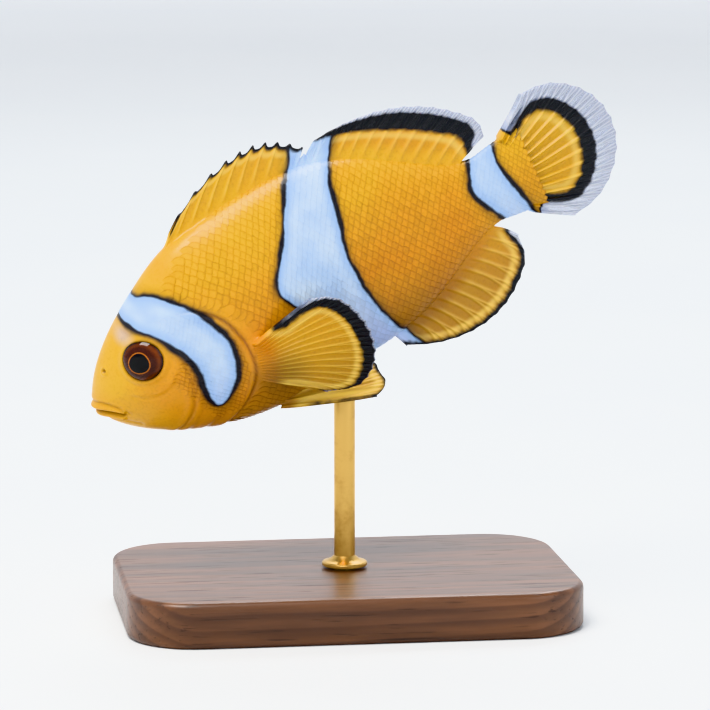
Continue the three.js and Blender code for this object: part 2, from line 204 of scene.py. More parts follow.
class Posture:
    """The swimming curve, the tilt and the place of the fish over its stand."""

    NOSE_DOWN = math.radians(26)
    BANK = math.radians(12)
    WAG = Bend(((8, 13), (26, -11), (43, 5), (60, -5)))
    BOW = Bend(((10, 7), (32, 0)))
    ROD_AT = 32.5
    BELLY_HEIGHT = 33.0
    REACH = (-10.0, 95.0)
    STEP = 0.02

    def __init__(self, belly: float) -> None:
        """Lays the spine out.

        Args:
            belly: how far below the middle line the belly is over the rod.
        """
        self.table = np.arange(*self.REACH, self.STEP)
        strides = self.direction(self.table + self.STEP / 2) * self.STEP
        spine = np.vstack([np.zeros(3), np.cumsum(strides, axis=0)[:-1]])
        self.spine = spine - spine[np.argmin(np.abs(self.table - self.ROD_AT))]
        tilt, bank = self.NOSE_DOWN, self.BANK
        pitch = [[1, 0, 0], [0, math.cos(tilt), -math.sin(tilt)], [0, math.sin(tilt), math.cos(tilt)]]
        roll = [[math.cos(bank), 0, math.sin(bank)], [0, 1, 0], [-math.sin(bank), 0, math.cos(bank)]]
        self.turned = np.array(pitch) @ np.array(roll)
        held = self.tilted(point(0.0, self.ROD_AT, -belly))
        self.lift = np.array([-held[0], -held[1], self.BELLY_HEIGHT - held[2]])

    def direction(self, along: Array) -> Array:
        """The way the spine runs back.

        Args:
            along: places along the fish.

        Returns:
            A unit vector at each place.
        """
        turn, climb = self.WAG.at(along), self.BOW.at(along)
        flat = np.cos(climb)
        return np.stack([np.sin(turn) * flat, np.cos(turn) * flat, np.sin(climb)], axis=-1)

    def tilted(self, straight: Array) -> Array:
        """Curves and tilts the fish about the place on its spine over the rod.

        Args:
            straight: points of the straight fish.

        Returns:
            The points, in millimetres from that place.
        """
        left, along, up = np.moveaxis(straight, -1, 0)
        turn = self.WAG.at(along)
        leftward = np.stack([np.cos(turn), -np.sin(turn), np.zeros_like(turn)], axis=-1)
        upward = np.cross(leftward, self.direction(along))
        spot = np.stack([np.interp(along, self.table, self.spine[:, k]) for k in range(3)], axis=-1)
        return (spot + leftward * left[..., None] + upward * up[..., None]) @ self.turned.T

    def place(self, straight: Array) -> Array:
        """Sets straight points in their place over the stand, in metres."""
        return (self.tilted(straight) + self.lift) * MM


@dataclass(frozen=True)
class HalfProfile:
    """How far the skin lies from the middle line, from the snout to the tail stalk.

    full is the greatest distance, reached at peak. blunt and round shape the snout, stalk is the
    distance at the thinnest place, and hold keeps the body full behind its peak.
    """

    full: float
    peak: float
    blunt: float
    round: float
    stalk: float
    hold: float
    stalk_at: float = 59.5

    def reach(self, along: Array) -> Array:
        """The distance of the skin.

        Args:
            along: places along the fish.

        Returns:
            The distance at each place.
        """
        lead = (1 - np.clip(along / self.peak, 0, 1)) ** self.blunt
        front = self.full * (1 - lead) ** self.round
        run = np.clip((along - self.peak) / (self.stalk_at - self.peak), 0, 1) ** self.hold
        return np.where(along < self.peak, front, mix(self.full, self.stalk, ease(run)))


@dataclass(frozen=True)
class BodyForm:
    """The body without its fins. nape is the place, rise and spread of the arch behind the head."""

    back: HalfProfile = HalfProfile(15.2, 30.5, 2, 0.72, 5.1, 1.65)
    belly: HalfProfile = HalfProfile(13.4, 28.5, 2, 0.63, 4.9, 1.85)
    flank: HalfProfile = HalfProfile(6.4, 19, 2.2, 0.55, 1.7, 1.15)
    flare: float = 0.16
    nape: Triple = (19.0, 0.8, 5.5)
    middle_share: float = 0.15
    back_keel: float = 1.06
    belly_keel: float = 0.9
    least: float = 0.05

    def sizes(self, along: Array) -> tuple[Array, Array, Array, Array]:
        """Measures the section of the body.

        Args:
            along: places along the fish.

        Returns:
            The distances of the back, the belly and the flank, and the height of the widest line.
        """
        more = self.flare * np.maximum(along - self.back.stalk_at, 0)
        at, rise, spread = self.nape
        back = self.back.reach(along) + more + ridge(along, rise, at, spread)
        belly = self.belly.reach(along) + more
        return back, belly, self.flank.reach(along), self.middle_share * (back - belly)

    def half(self, along: Array, on_back: Array) -> tuple[Array, Array]:
        """Measures the upper or the lower half of the section.

        Args:
            along: places along the fish.
            on_back: whether each place is on the upper half.

        Returns:
            The height of the half from the widest line, and its keel.
        """
        back, belly, _, middle = self.sizes(along)
        height = np.where(on_back, back - middle, belly + middle)
        return height, np.where(on_back, self.back_keel, self.belly_keel)

    def spot(self, along: Array, turn: Array) -> Array:
        """Finds points of the plain skin.

        Args:
            along: places along the fish.
            turn: the way round the body: 0 on the left flank, a quarter turn on the back.

        Returns:
            Straight points.
        """
        _, _, flank, middle = self.sizes(along)
        height, keel = self.half(along, np.sin(turn) >= 0)
        left = np.maximum(flank, self.least) * signed_power(np.cos(turn), keel)
        rise = np.maximum(height, self.least) * signed_power(np.sin(turn), keel)
        return point(left, along, middle + rise)

    def turn_at(self, along: Array, up: Array) -> Array:
        """Finds where on the left flank the skin is at a height.

        Args:
            along: places along the fish.
            up: heights over its middle line.

        Returns:
            The turn round the body at each.
        """
        middle = self.sizes(along)[3]
        height, keel = self.half(along, up >= middle)
        return np.arcsin(np.clip(signed_power((up - middle) / height, 1 / keel), -1, 1))

    def normal(self, along: Array, turn: Array, step: float = 0.01) -> Array:
        """Finds the way out of the plain skin.

        Args:
            along: places along the fish.
            turn: the way round the body.
            step: how far apart the skin is measured for it.

        Returns:
            A unit vector at each place.
        """
        ahead = self.spot(along + step, turn) - self.spot(np.maximum(along - step, 1e-4), turn)
        round_it = self.spot(along, turn + step) - self.spot(along, turn - step)
        return unit(np.cross(ahead, round_it))


# ---- Folds and details of the skin ----


@dataclass(frozen=True)
class Fold:
    """A furrow along a line of the side view, with a raised lip on each side of it.

    A lip's height is given for the left and the right of the line's run, the step is how much
    lower the skin stays on the left, and dark is how much shade is painted into the furrow.
    """

    knots: tuple[Pair, ...]
    depth: float
    width: float
    lips: Pair = (0.0, 0.0)
    lip_at: float = 0.5
    lip_width: float = 0.4
    step: float = 0.0
    dark: float = 0.0
    fade: float = 0.12
    step_reach: float = 1.6

    def shape(self, points: Array) -> tuple[Array, Array]:
        """Measures the fold.

        Args:
            points: rows of (along, up).

        Returns:
            The height that it adds, and the shade painted into its furrow.
        """
        distance, side, share = line_distance(points, smooth_line(self.knots, 8))
        ends = ease(share / self.fade) * ease((1 - share) / self.fade)
        height = ridge(distance, np.where(side > 0, *self.lips), self.lip_at, self.lip_width)
        height -= self.depth * bell(distance, self.width)
        behind = np.where(side > 0, distance, 0)
        height -= self.step * ease(behind / self.width / 2) * np.exp(-behind / self.step_reach)
        return height * ends, self.dark * bell(distance, self.width * 1.1) * ends


@dataclass(frozen=True)
class HeadDetail:
    """The mouth, nostrils, eye sockets, bones and gill covers that the skin shows.

    The ridges round an eye or a nostril are each a height, a distance and a width.
    """

    form: BodyForm
    eye: Pair = (10.1, 4.1)
    socket: float = 2.5
    socket_depth: float = 1.5
    socket_wall: float = 0.55
    socket_ridges: tuple[Triple, ...] = ((0.13, 0.42, 0.26), (-0.07, 1.15, 0.3))
    nostril: Pair = (4.5, 4.5)
    nostril_ridges: tuple[Triple, ...] = ((0.14, 0.5, 0.18), (-0.5, 0.0, 0.24))
    nostril_shade: float = 0.27
    fin_muscle: Triple = (6.0, 22.4, -4.0)
    fin_muscle_size: Triple = (3.0, 2.3, 3.2)
    fin_muscle_rise: float = 0.3
    limit: float = 28.0
    mouth: Fold = Fold(
        ((-1.2, -0.1), (0.3, -0.35), (2.2, -0.95), (4.1, -2.1)),
        depth=0.6, width=0.16, lips=(0.3, 0.36), lip_at=0.56, lip_width=0.34, dark=1.0, fade=0.05,
    )
    folds: tuple[Fold, ...] = (
        Fold(((-1.0, 1.15), (1.5, 0.75), (3.4, -0.5), (4.9, -2.5)), 0.16, 0.2, (0.05, 0.0), dark=0.2),
        Fold(((0.3, -1.9), (2.3, -2.5), (4.0, -3.5), (5.3, -4.6)), 0.14, 0.22, dark=0.16),
        Fold(((6.0, 0.5), (7.7, -0.6), (10.2, -1.2), (12.6, -0.2), (13.9, 2.0)), 0.09, 0.25, (0.05, 0.0)),
        Fold(
            ((14.0, 5.6), (14.2, 2.0), (13.7, -1.8), (12.3, -5.0), (9.6, -7.3), (6.6, -8.2)),
            0.2, 0.22, (0.05, 0.14), 0.5, 0.5, dark=0.3,
        ),
        Fold(((13.9, -4.4), (12.4, -6.6), (9.9, -8.6), (7.0, -9.2)), 0.1, 0.2, dark=0.15),
        Fold(((15.3, -7.2), (12.6, -9.2), (9.4, -10.4)), 0.12, 0.25, dark=0.2),
    )
    gill: Fold = Fold(
        (
            (15.6, 7.8), (18.2, 6.6), (20.1, 3.9), (20.9, 0.6), (21.0, -2.4),
            (20.2, -5.4), (18.2, -8.0), (14.6, -10.2), (10.0, -11.4),
        ),
        depth=0.42, width=0.2, lips=(0.0, 0.16), lip_at=0.55, lip_width=0.6,
        step=0.22, dark=0.85, fade=0.14,
    )

    def on_skin(self, place: Pair, side: int) -> tuple[Array, Array]:
        """Finds a place of the side view on the plain skin.

        Args:
            place: its (along, up).
            side: 1 on the left and -1 on the right.

        Returns:
            The straight point and the way out of the skin there.
        """
        along = np.array(place[0])
        turn = self.form.turn_at(along, np.array(place[1]))
        mirror = np.array([side, 1, 1])
        return self.form.spot(along, turn) * mirror, self.form.normal(along, turn) * mirror

    def round_parts(self, spots: Array) -> tuple[Array, Array]:
        """Measures the eye sockets, the nostrils and the muscle under each pectoral fin.

        Args:
            spots: rows of straight points.

        Returns:
            The height that they add, and the shade painted into them.
        """
        height, dark = np.zeros(len(spots)), np.zeros(len(spots))
        for side in (1, -1):
            centre, outward = self.on_skin(self.eye, side)
            offset = spots - centre
            near = np.linalg.norm(offset, axis=1) < 2 * self.socket
            beyond = np.linalg.norm(offset - (offset @ outward)[:, None] * outward, axis=1) - self.socket
            pit = -self.socket_depth * ease((0.15 - beyond) / self.socket_wall)
            rims = sum(ridge(beyond, *each) for each in self.socket_ridges)
            height += np.where(near, pit + rims, 0)
            # Painted shade in the crevice round the eye.
            dark += np.where(near, ridge(beyond, 0.75, 0.02, 0.22), 0)
            hole = np.linalg.norm(spots - self.on_skin(self.nostril, side)[0], axis=1)
            height += sum(ridge(hole, *each) for each in self.nostril_ridges)
            # Painted shade in the nostril.
            dark += bell(hole, self.nostril_shade)
            muscle = (spots - np.array(self.fin_muscle) * (side, 1, 1)) / self.fin_muscle_size
            height += self.fin_muscle_rise * bell(np.linalg.norm(muscle, axis=1), 1.0)
        return height, dark

    def relief(self, spots: Array) -> tuple[Array, Array]:
        """Measures what is added to plain skin.

        Args:
            spots: rows of straight points on the plain skin.

        Returns:
            Millimetres of height, and a share from 0 to 1 of shade painted into furrows and hollows.
        """
        height, dark = np.zeros(len(spots)), np.zeros(len(spots))
        ahead = np.nonzero(spots[:, 1] < self.limit)[0]
        front = spots[ahead]
        parts = [fold.shape(front[:, 1:]) for fold in (self.mouth, self.gill, *self.folds)]
        parts.append(self.round_parts(front))
        height[ahead] = sum(part[0] for part in parts)
        dark[ahead] = np.clip(sum(part[1] for part in parts), 0, 1)
        return height, dark


@dataclass(frozen=True)
class Skin:
    """Places points on or over the detailed skin, which lies under the solid's face by its inset."""

    form: BodyForm
    detail: HeadDetail
    inset: float

    def at(self, along: Array, turn: Array, lift: Number = 0.0) -> tuple[Array, Array]:
        """Finds points over the skin.

        Args:
            along: places along the fish.
            turn: the way round the body.
            lift: how far over the skin they are.

        Returns:
            Straight points, and the shade painted into the furrows under them.
        """
        flat_along, flat_turn = np.ravel(along), np.ravel(turn)
        base = self.form.spot(flat_along, flat_turn)
        height, dark = self.detail.relief(base)
        rise = height - self.inset + np.ravel(lift)
        spots = base + self.form.normal(flat_along, flat_turn) * rise[:, None]
        return spots.reshape(*np.shape(along), 3), dark.reshape(np.shape(along))


# ---- Markings ----


class Kind(Enum):
    """The parts of the skin that are marked in their own way."""

    BODY = 0
    SPINY_DORSAL = 1
    SOFT_DORSAL = 2
    ANAL = 3
    TAIL = 4
    PECTORAL = 5
    PELVIC = 6
    WEB = 7


@dataclass(frozen=True)
class Bar:
    """A white bar as a closed outline of the side view, and the kinds of part that it crosses."""

    outline: tuple[Pair, ...]
    crosses: tuple[Kind, ...]


HEAD_BAR = Bar(
    (
        (7.6, 13.5), (9.4, 10.6), (10.2, 9.5), (11.4, 7.9), (12.7, 6.5), (14.0, 4.6), (14.9, 2.6),
        (15.3, 0.9), (15.3, -0.7), (15.0, -2.1), (14.7, -3.6), (14.5, -5.0), (14.8, -6.2), (15.8, -6.3),
        (17.4, -4.9), (18.6, -3.2), (19.3, -0.9), (19.5, 1.3), (19.1, 3.4), (18.4, 5.4), (17.5, 7.3),
        (16.0, 9.5), (14.4, 10.7), (12.8, 11.4), (11.5, 13.5),
    ),
    (Kind.BODY,),
)
MIDDLE_BAR = Bar(
    (
        (40.3, 21.0), (38.6, 18.0), (37.6, 16.2), (35.8, 13.6), (33.7, 11.1), (31.8, 8.4), (29.9, 6.3),
        (28.3, 4.4), (27.6, 2.6), (28.3, 0.9), (30.1, -1.4), (32.6, -4.6), (35.0, -8.2), (36.8, -12.0),
        (38.2, -17.0), (40.3, -22.0), (45.5, -21.0), (43.2, -15.5), (41.5, -11.5), (40.1, -7.2),
        (39.2, -3.5), (38.9, 0.5), (39.1, 3.2), (39.7, 6.0), (40.3, 9.0), (41.2, 11.9), (42.6, 14.5),
        (44.5, 17.5), (46.5, 21.0),
    ),
    (Kind.BODY, Kind.SPINY_DORSAL, Kind.SOFT_DORSAL, Kind.WEB, Kind.ANAL),
)
TAIL_BAR = Bar(
    (
        (59.9, 9.0), (59.5, 6.2), (58.7, 4.9), (57.9, 3.5), (57.5, 2.0), (57.6, 0.6), (58.1, -0.9),
        (59.0, -2.9), (60.0, -4.9), (60.8, -8.0), (64.6, -8.5), (63.8, -5.5), (63.5, -4.0), (62.9, -2.4),
        (62.3, -0.5), (62.0, 1.2), (61.9, 2.8), (62.0, 4.2), (62.3, 5.6), (63.0, 9.0),
    ),
    (Kind.BODY, Kind.TAIL),
)


class BarField:
    """Signed distances to the white bars, kept on a grid of the side view."""

    STEP = 0.15
    ALONG = (-3.0, 84.0)
    UP = (-24.0, 24.0)
    FAR = -9.0

    def __init__(self, bars: Sequence[Bar]) -> None:
        """Works the grid of each bar out.

        Args:
            bars: the bars.
        """
        along, up = np.arange(*self.ALONG, self.STEP), np.arange(*self.UP, self.STEP)
        grid = np.stack(np.meshgrid(along, up, indexing="ij"), axis=-1)
        self.bars = bars
        self.fields = [self.field(bar, grid.reshape(-1, 2)).reshape(grid.shape[:2]) for bar in bars]

    @staticmethod
    def field(bar: Bar, points: Array) -> Array:
        """Measures how deep in a bar points lie.

        Args:
            bar: the bar.
            points: rows of (along, up).

        Returns:
            The distance to its outline, which is negative outside it.
        """
        line = smooth_line(bar.outline, 5, closed=True)
        line = np.vstack([line, line[:1]])
        distance, _, _ = line_distance(points, line)
        crossings = np.zeros(len(points), int)
        for (a0, b0), (a1, b1) in zip(line, line[1:]):
            spans = (b0 > points[:, 1]) != (b1 > points[:, 1])
            reach = a0 + (points[:, 1] - b0) * (a1 - a0) / (b1 - b0 if b1 != b0 else 1e-9)
            crossings += spans & (points[:, 0] < reach)
        return np.where(crossings % 2 == 1, distance, -distance)

    def at(self, spots: Array, kinds: Array) -> Array:
        """Measures how far inside the nearest bar points lie.

        Args:
            spots: rows of straight points.
            kinds: the kind of part that each is on.

        Returns:
            Millimetres, negative outside the bars.
        """
        row = (spots[:, 1] - self.ALONG[0]) / self.STEP
        column = (spots[:, 2] - self.UP[0]) / self.STEP
        best = np.full(len(spots), self.FAR)
        for bar, grid in zip(self.bars, self.fields):
            crossed = np.isin(kinds, [kind.value for kind in bar.crosses])
            best = np.where(crossed, np.maximum(best, between(grid, row, column)), best)
        return best


def store(mesh: Mesh, **values: Array) -> None:
    """Keeps named values at the vertices of a mesh, for its finish.

    Args:
        mesh: the mesh.
        values: one number or one vector for each vertex, by name.
    """
    for name, value in values.items():
        flat = np.asarray(value, np.float32).ravel()
        kind, key = ("FLOAT", "value") if flat.size == len(mesh.vertices) else ("FLOAT_VECTOR", "vector")
        mesh.attributes.new(name, kind, "POINT").data.foreach_set(key, flat)


@dataclass
class Marks:
    """What the finishes read at each vertex: see FishColours."""

    bar: Array
    inner: Array
    rim: Array
    tone: Array
    crease_shade: Array
    thin: Array
    spot: Array
    ray: Array


def body_tone(spots: Array) -> Array:
    """Tells how yellow the skin is. The snout, the back and the tail are yellower.

    Args:
        spots: rows of straight points.

    Returns:
        A share: 0 is orange and 1 is yellow.
    """
    along, up = spots[:, 1], spots[:, 2]
    snout = 0.5 * ease((15 - along) / 11)
    back = 0.65 * ease((up + 2) / 13)
    tail = 0.35 * ease((along - 52) / 10)
    return np.clip(0.28 + snout + back + tail, 0, 1)


# ---- Shells: closed surfaces of the straight fish ----


@dataclass(frozen=True)
class Shell:
    """A closed surface with what is known at each of its vertices."""

    spots: Array
    faces: Array
    kind: Kind
    inner: Array
    rim: Array
    thin: Array
    ray: Array
    crease_shade: Array

    def mirrored(self) -> "Shell":
        """The same shell on the fish's other side."""
        return replace(self, spots=self.spots * (-1, 1, 1), faces=self.faces[:, ::-1])


def ring_faces(rings: int, sides: int) -> Array:
    """Joins the rings of a row of equal closed rings.

    Args:
        rings: how many there are.
        sides: how many points each has.

    Returns:
        Quads, one a row.
    """
    first = (np.arange(rings - 1) * sides)[:, None]
    side = np.arange(sides)[None, :]
    after = (side + 1) % sides
    quads = [first + side, first + after, first + after + sides, first + side + sides]
    return np.stack(quads, axis=-1).reshape(-1, 4)


def closed_faces(spots: Array, sides: int) -> Array:
    """Joins a row of rings with an even number of sides, and closes both ends with strips.

    Args:
        spots: the points of the rings, one a row.
        sides: how many points each ring has.

    Returns:
        Quads that look outward, one a row.
    """
    side = np.arange(sides // 2 - 1)
    strips = np.stack([side, sides - 1 - side, sides - 2 - side, side + 1], axis=-1)
    last = len(spots) - sides + strips[:, ::-1]
    faces = np.vstack([ring_faces(len(spots) // sides, sides), strips, last])
    a, b, c, d = (spots[faces[:, corner]] for corner in range(4))
    volume = (a * (np.cross(b, c) + np.cross(c, d))).sum()
    return faces if volume > 0 else faces[:, ::-1]


def turned_rings(profile: Sequence[Pair], sides: int) -> Array:
    """Turns a profile round the upright axis, as on a lathe.

    Args:
        profile: the (radius, height) of each ring.
        sides: how many points each ring has.

    Returns:
        The points of the rings, one a row.
    """
    angle = round_turns(sides)
    return np.vstack([
        np.column_stack([radius * np.cos(angle), radius * np.sin(angle), np.full(sides, height)])
        for radius, height in profile
    ])


@dataclass(frozen=True)
class Fin:
    """A fin as a fan of rays with thinner webs, in a flat plane of its own.

    A ray's length at share u of the fan is least + swell * sin(pi * (start + run * u)), and rounded
    is how much shorter the first and the last ray are. rim and black are the widths of the clear
    margin and of the black band inside it at the first ray, in the middle and at the last ray, and
    sides are the same two widths along the first ray and along the last. Those start at the first
    distance of bloom from the rays' roots and are full after the second. split is where along them
    the rays part in two, and in two again.
    """

    kind: Kind
    rays: int
    sweep: float
    notch: float
    least: float
    swell: float
    start: float
    run: float
    root_half: float
    rounded: Pair
    rim: Triple
    black: Triple
    sides: tuple[Pair, Pair]
    split: Pair = (0.45, 0.74)
    soften: float = 0.9
    bloom: Pair = (1.2, 5.2)
    cells: int = 14
    rows: int = 40
    inset: float = 0.12
    form: BodyForm = field(default_factory=BodyForm)

    ROOT_SINK = 1.2
    TIP_HALF = 0.24
    WEB_HALF = 0.085
    WEB_SHARE = 0.62
    PINCH = 0.35
    CORNER = 0.17
    ROUND = (0.98, 0.9, 0.68, 0.36)
    TIP_ROWS = (0.985, 0.992, 0.997, 1.0)
    RAY_WIDTH = (0.2, 0.085)
    APART = (0.24, 0.11)

    def root(self, u: Array) -> tuple[Array, Array, Array]:
        """The root point of the ray at share u in the fin's plane, and the ray's angle."""
        raise NotImplementedError

    def lay(self, p: Array, q: Array, thick: Array) -> Array:
        """Sets a point of the fin's plane, here the middle plane, in the straight fish."""
        return point(thick, p, q)

    def crest(self, u: Array, v: Array) -> Array:
        """Tells rays from webs. Rays part twice on their way.

        Args:
            u: the share of the fan at each place.
            v: the share of the ray.

        Returns:
            A share: 0 on the web and 1 on a ray.
        """
        phase = u * (self.rays - 1)
        off = phase - np.round(phase)
        first, second = (
            apart * ease((v - start) / max(1 - start, 0.01)) for apart, start in zip(self.APART, self.split)
        )
        width = mix(*self.RAY_WIDTH, ease(v / 0.8))
        gaps = [off - a * first - b * second for a in (-1, 1) for b in (-1, 1)]
        return np.clip(np.max([bell(gap, width) for gap in gaps], axis=0), 0, 1)

    def length(self, u: Array) -> Array:
        """Measures the rays, with the fin's corners rounded off.

        Args:
            u: shares of the fan.

        Returns:
            The length of the ray at each share.
        """
        full = self.least + self.swell * np.sin(math.pi * (self.start + self.run * u))
        first = np.maximum(1 - u / self.CORNER, 0) ** 2
        last = np.maximum(1 - (1 - u) / self.CORNER, 0) ** 2
        return full * (1 - self.rounded[0] * first - self.rounded[1] * last) - self.inset

    def shell(self) -> Shell:
        """Makes the fin's closed surface.

        Returns:
            The shell. Its columns end beyond the outermost rays in a round edge.
        """
        beyond = np.array(self.ROUND)
        inner = np.linspace(0, 1, (self.rays - 1) * self.cells + 1)
        share = np.concatenate([np.zeros(len(beyond)), inner, np.ones(len(beyond))])
        out = np.concatenate([-beyond, np.zeros(len(inner)), beyond[::-1]])[:, None]
        u, v = np.meshgrid(share, [*np.linspace(0, 0.975, self.rows), *self.TIP_ROWS], indexing="ij")
        crest = self.crest(u, v)
        p0, q0, angle = self.root(u)
        full = self.length(u)
        length = full * (1 - self.notch * (1 - self.crest(u, np.zeros_like(v))) * v)
        bent = np.radians(angle + self.sweep * v)
        ray = mix(self.root_half - 0.06, self.TIP_HALF, v**0.7)
        web = mix(self.root_half * self.WEB_SHARE, self.WEB_HALF, v**0.5)
        half = web + np.maximum(ray - web, 0) * crest
        half *= np.sqrt(np.clip(1 - out**2, 0, 1)) * np.sqrt(np.clip((1.004 - v) / 0.03, 0, 1))
        half *= mix(self.PINCH, 1, ease(v / 0.09))
        drift = out * np.minimum(ray, 0.3)
        p = p0 + length * v * np.cos(bent) - drift * np.sin(bent)
        q = q0 + length * v * np.sin(bent) + drift * np.cos(bent)
        spots = np.concatenate([self.lay(p, q, half), self.lay(p, q, -half)[:, ::-1]], axis=1)
        flat = spots.reshape(-1, 3)
        root = np.hypot(p0[-1, 0] - p0[0, 0], q0[-1, 0] - q0[0, 0])
        marks = self.marks(u, v, full, root, crest)
        doubled = [np.concatenate([mark, mark[:, ::-1]], axis=1).ravel() for mark in marks]
        return Shell(flat, closed_faces(flat, spots.shape[1]), self.kind, *doubled, np.zeros(len(flat)))

    def marks(self, u: Array, v: Array, full: Array, root: float, crest: Array) -> list[Array]:
        """Measures the fin for its finish.

        Args:
            u: the share of the fan at each place.
            v: the share of the ray.
            full: the ray's length.
            root: the length of the fin's root.
            crest: how far each place is up a ray.

        Returns:
            Millimetres into the coloured inside and into the clear rim, thinness and rays.
        """
        from_tip = (1 - v) * full
        angle = self.root(np.array([0.0, 1.0]))[2]
        spread = root + v * full * abs(math.radians(angle[1] - angle[0]))
        grown = ease((v * full - self.bloom[0]) / (self.bloom[1] - self.bloom[0]))
        rim, black = self.width(self.rim, u), self.width(self.black, u)
        (clear_first, black_first), (clear_last, black_last) = self.sides
        first, last = u * spread + 1 - grown, (1 - u) * spread + 1 - grown
        inner = self.least_of(
            from_tip - rim - black,
            first - (clear_first + black_first) * grown,
            last - (clear_last + black_last) * grown,
        )
        within = self.least_of(from_tip - rim, first - clear_first * grown, last - clear_last * grown)
        thin = ease((v * full - self.ROOT_SINK - 0.3) / 2.2)
        return [inner, -within, thin, crest * thin]

    @staticmethod
    def width(widths: Triple, u: Array) -> Array:
        """A width that goes from the first ray over the middle to the last."""
        first, middle, last = widths
        return mix(first, last, u) + (middle - (first + last) / 2) * np.sin(math.pi * u)

    def least_of(self, *distances: Array) -> Array:
        """The least of some distances, with its corners softened."""
        return -self.soften * np.log(sum(np.exp(-distance / self.soften) for distance in distances))


@dataclass(frozen=True)
class MiddleFin(Fin):
    """A fin on the middle line. side is 1 along the back and -1 along the belly."""

    side: int = 1
    begins: float = 0.0
    ends: float = 1.0
    lean: Pair = (0.0, 0.0)

    def root(self, u: Array) -> tuple[Array, Array, Array]:
        """Lays the root a little inside the line of the back or belly.

        Args:
            u: shares of the fan.

        Returns:
            The along, the up and the angle of the ray at each share.
        """
        along = mix(self.begins, self.ends, u)
        back, belly, _, _ = self.form.sizes(along)
        height = (back if self.side > 0 else belly) - self.ROOT_SINK
        return along, self.side * height, self.side * mix(*self.lean, u)


@dataclass(frozen=True)
class FanFin(Fin):
    """A fin that fans out from a short root: the tail fin, or a paired fin in its own plane."""

    fan: float = 20.0
    root_height: float = 3.0
    root_at: float = 0.0

    def root(self, u: Array) -> tuple[Array, Array, Array]:
        """The root line is upright and the rays fan out from it."""
        height = mix(-self.root_height, self.root_height, u)
        return np.full(np.shape(u), self.root_at), height, mix(-self.fan, self.fan, u)


@dataclass(frozen=True)
class PairedFin(FanFin):
    """A paired fin on the left side, splayed from the body."""

    along: float = 22.0
    up: float = -4.0
    sunk: float = 0.0
    splay: float = 20.0
    droop: float = 10.0
    tilt: float = 0.0

    def lay(self, p: Array, q: Array, thick: Array) -> Array:
        """Sets points of the fin's plane, splayed out from the skin at its root.

        Args:
            p: the distance out from the body.
            q: the distance along the way that the fan opens.
            thick: the distance from the plane.

        Returns:
            Straight points.
        """
        splay, droop, tilt = (math.radians(angle) for angle in (self.splay, self.droop, self.tilt))
        out = unit(point(
            math.sin(splay), math.cos(splay) * math.cos(droop), -math.cos(splay) * math.sin(droop)
        ))
        across = point(-math.sin(tilt), 0, math.cos(tilt))
        across = unit(across - out * float(across @ out))
        along, up = np.array(self.along), np.array(self.up)
        base = self.form.spot(along, self.form.turn_at(along, up)) - point(self.sunk, 0, 0)
        face = np.cross(across, out)
        return base + p[..., None] * out + q[..., None] * across + thick[..., None] * face


FINS = (
    MiddleFin(
        Kind.SPINY_DORSAL, rays=10, sweep=-8, notch=0.1, least=3.6, swell=5.2, start=0.2, run=0.78,
        root_half=0.55, rounded=(0, 0), rim=(-0.5, -0.5, -0.5), black=(1.0, 1.15, 1.05),
        sides=((-0.5, 0.9), (-3, 0)), split=(1.1, 1.2), soften=0.5, cells=12, rows=34,
        begins=17.5, ends=37.6, lean=(50, 60),
    ),
    MiddleFin(
        Kind.SOFT_DORSAL, rays=14, sweep=-12, notch=0.015, least=4.4, swell=4.9, start=0.02, run=0.76,
        root_half=0.6, rounded=(0, 0.24), rim=(-0.5, 0.9, 0.7), black=(0.6, 2.8, 1.6),
        sides=((-3, 0), (0.35, 1.0)), begins=38.4, ends=56.8, lean=(58, 36),
    ),
    MiddleFin(
        Kind.WEB, rays=3, sweep=-8, notch=0.2, least=3.4, swell=-0.5, start=0.0, run=1.0,
        root_half=0.5, rounded=(0, 0), rim=(-0.5, -0.5, -0.5), black=(-1.0, -1.0, -1.0),
        sides=((-3, 0), (-3, 0)), split=(1.1, 1.2), soften=0.5, cells=8, rows=20,
        begins=36.6, ends=39.4, lean=(60, 58),
    ),
    MiddleFin(
        Kind.ANAL, rays=13, sweep=-12, notch=0.015, least=3.6, swell=6.1, start=0.02, run=0.78,
        root_half=0.6, rounded=(0.1, 0.24), rim=(-0.4, -0.2, 0.0), black=(0.7, 0.9, 0.9),
        sides=((-0.4, 0.5), (0.1, 0.6)), side=-1, begins=39.8, ends=56.8, lean=(52, 32),
    ),
    FanFin(
        Kind.TAIL, rays=15, sweep=2, notch=0.012, least=7.8, swell=7.6, start=0, run=1,
        root_half=1.45, rounded=(0.1, 0.1), rim=(1.9, 3.1, 1.3), black=(1.6, 2.2, 1.3),
        sides=((1.5, 1.4), (0.8, 1.1)), soften=1.3, bloom=(1.0, 2.6), rows=46,
        fan=37, root_height=5.2, root_at=63.3,
    ),
    PairedFin(
        Kind.PECTORAL, rays=15, sweep=0, notch=0.015, least=8.2, swell=9, start=0.12, run=0.74,
        root_half=0.75, rounded=(0.2, 0.16), rim=(-0.2, 0.2, 0.1), black=(0.2, 2.3, 2.4),
        sides=((-0.6, 0.3), (-0.1, 0.9)), fan=29, root_height=2.6, root_at=-1.2,
        splay=17, droop=13, tilt=-9, along=22.2, up=-4,
    ),
    PairedFin(
        Kind.PELVIC, rays=6, sweep=6, notch=0.015, least=9.4, swell=7, start=0.5, run=0.42,
        root_half=0.75, rounded=(0.12, 0.1), rim=(-0.4, -0.2, -0.4), black=(0.5, 0.7, 0.6),
        sides=((-0.5, 0.5), (-0.5, 0.6)), split=(0.3, 0.6), soften=0.5, cells=24, rows=34,
        fan=15, root_height=1.3, root_at=-1.2, splay=12, droop=10, tilt=34, along=22.4, up=-11.3,
        sunk=1.6,
    ),
)


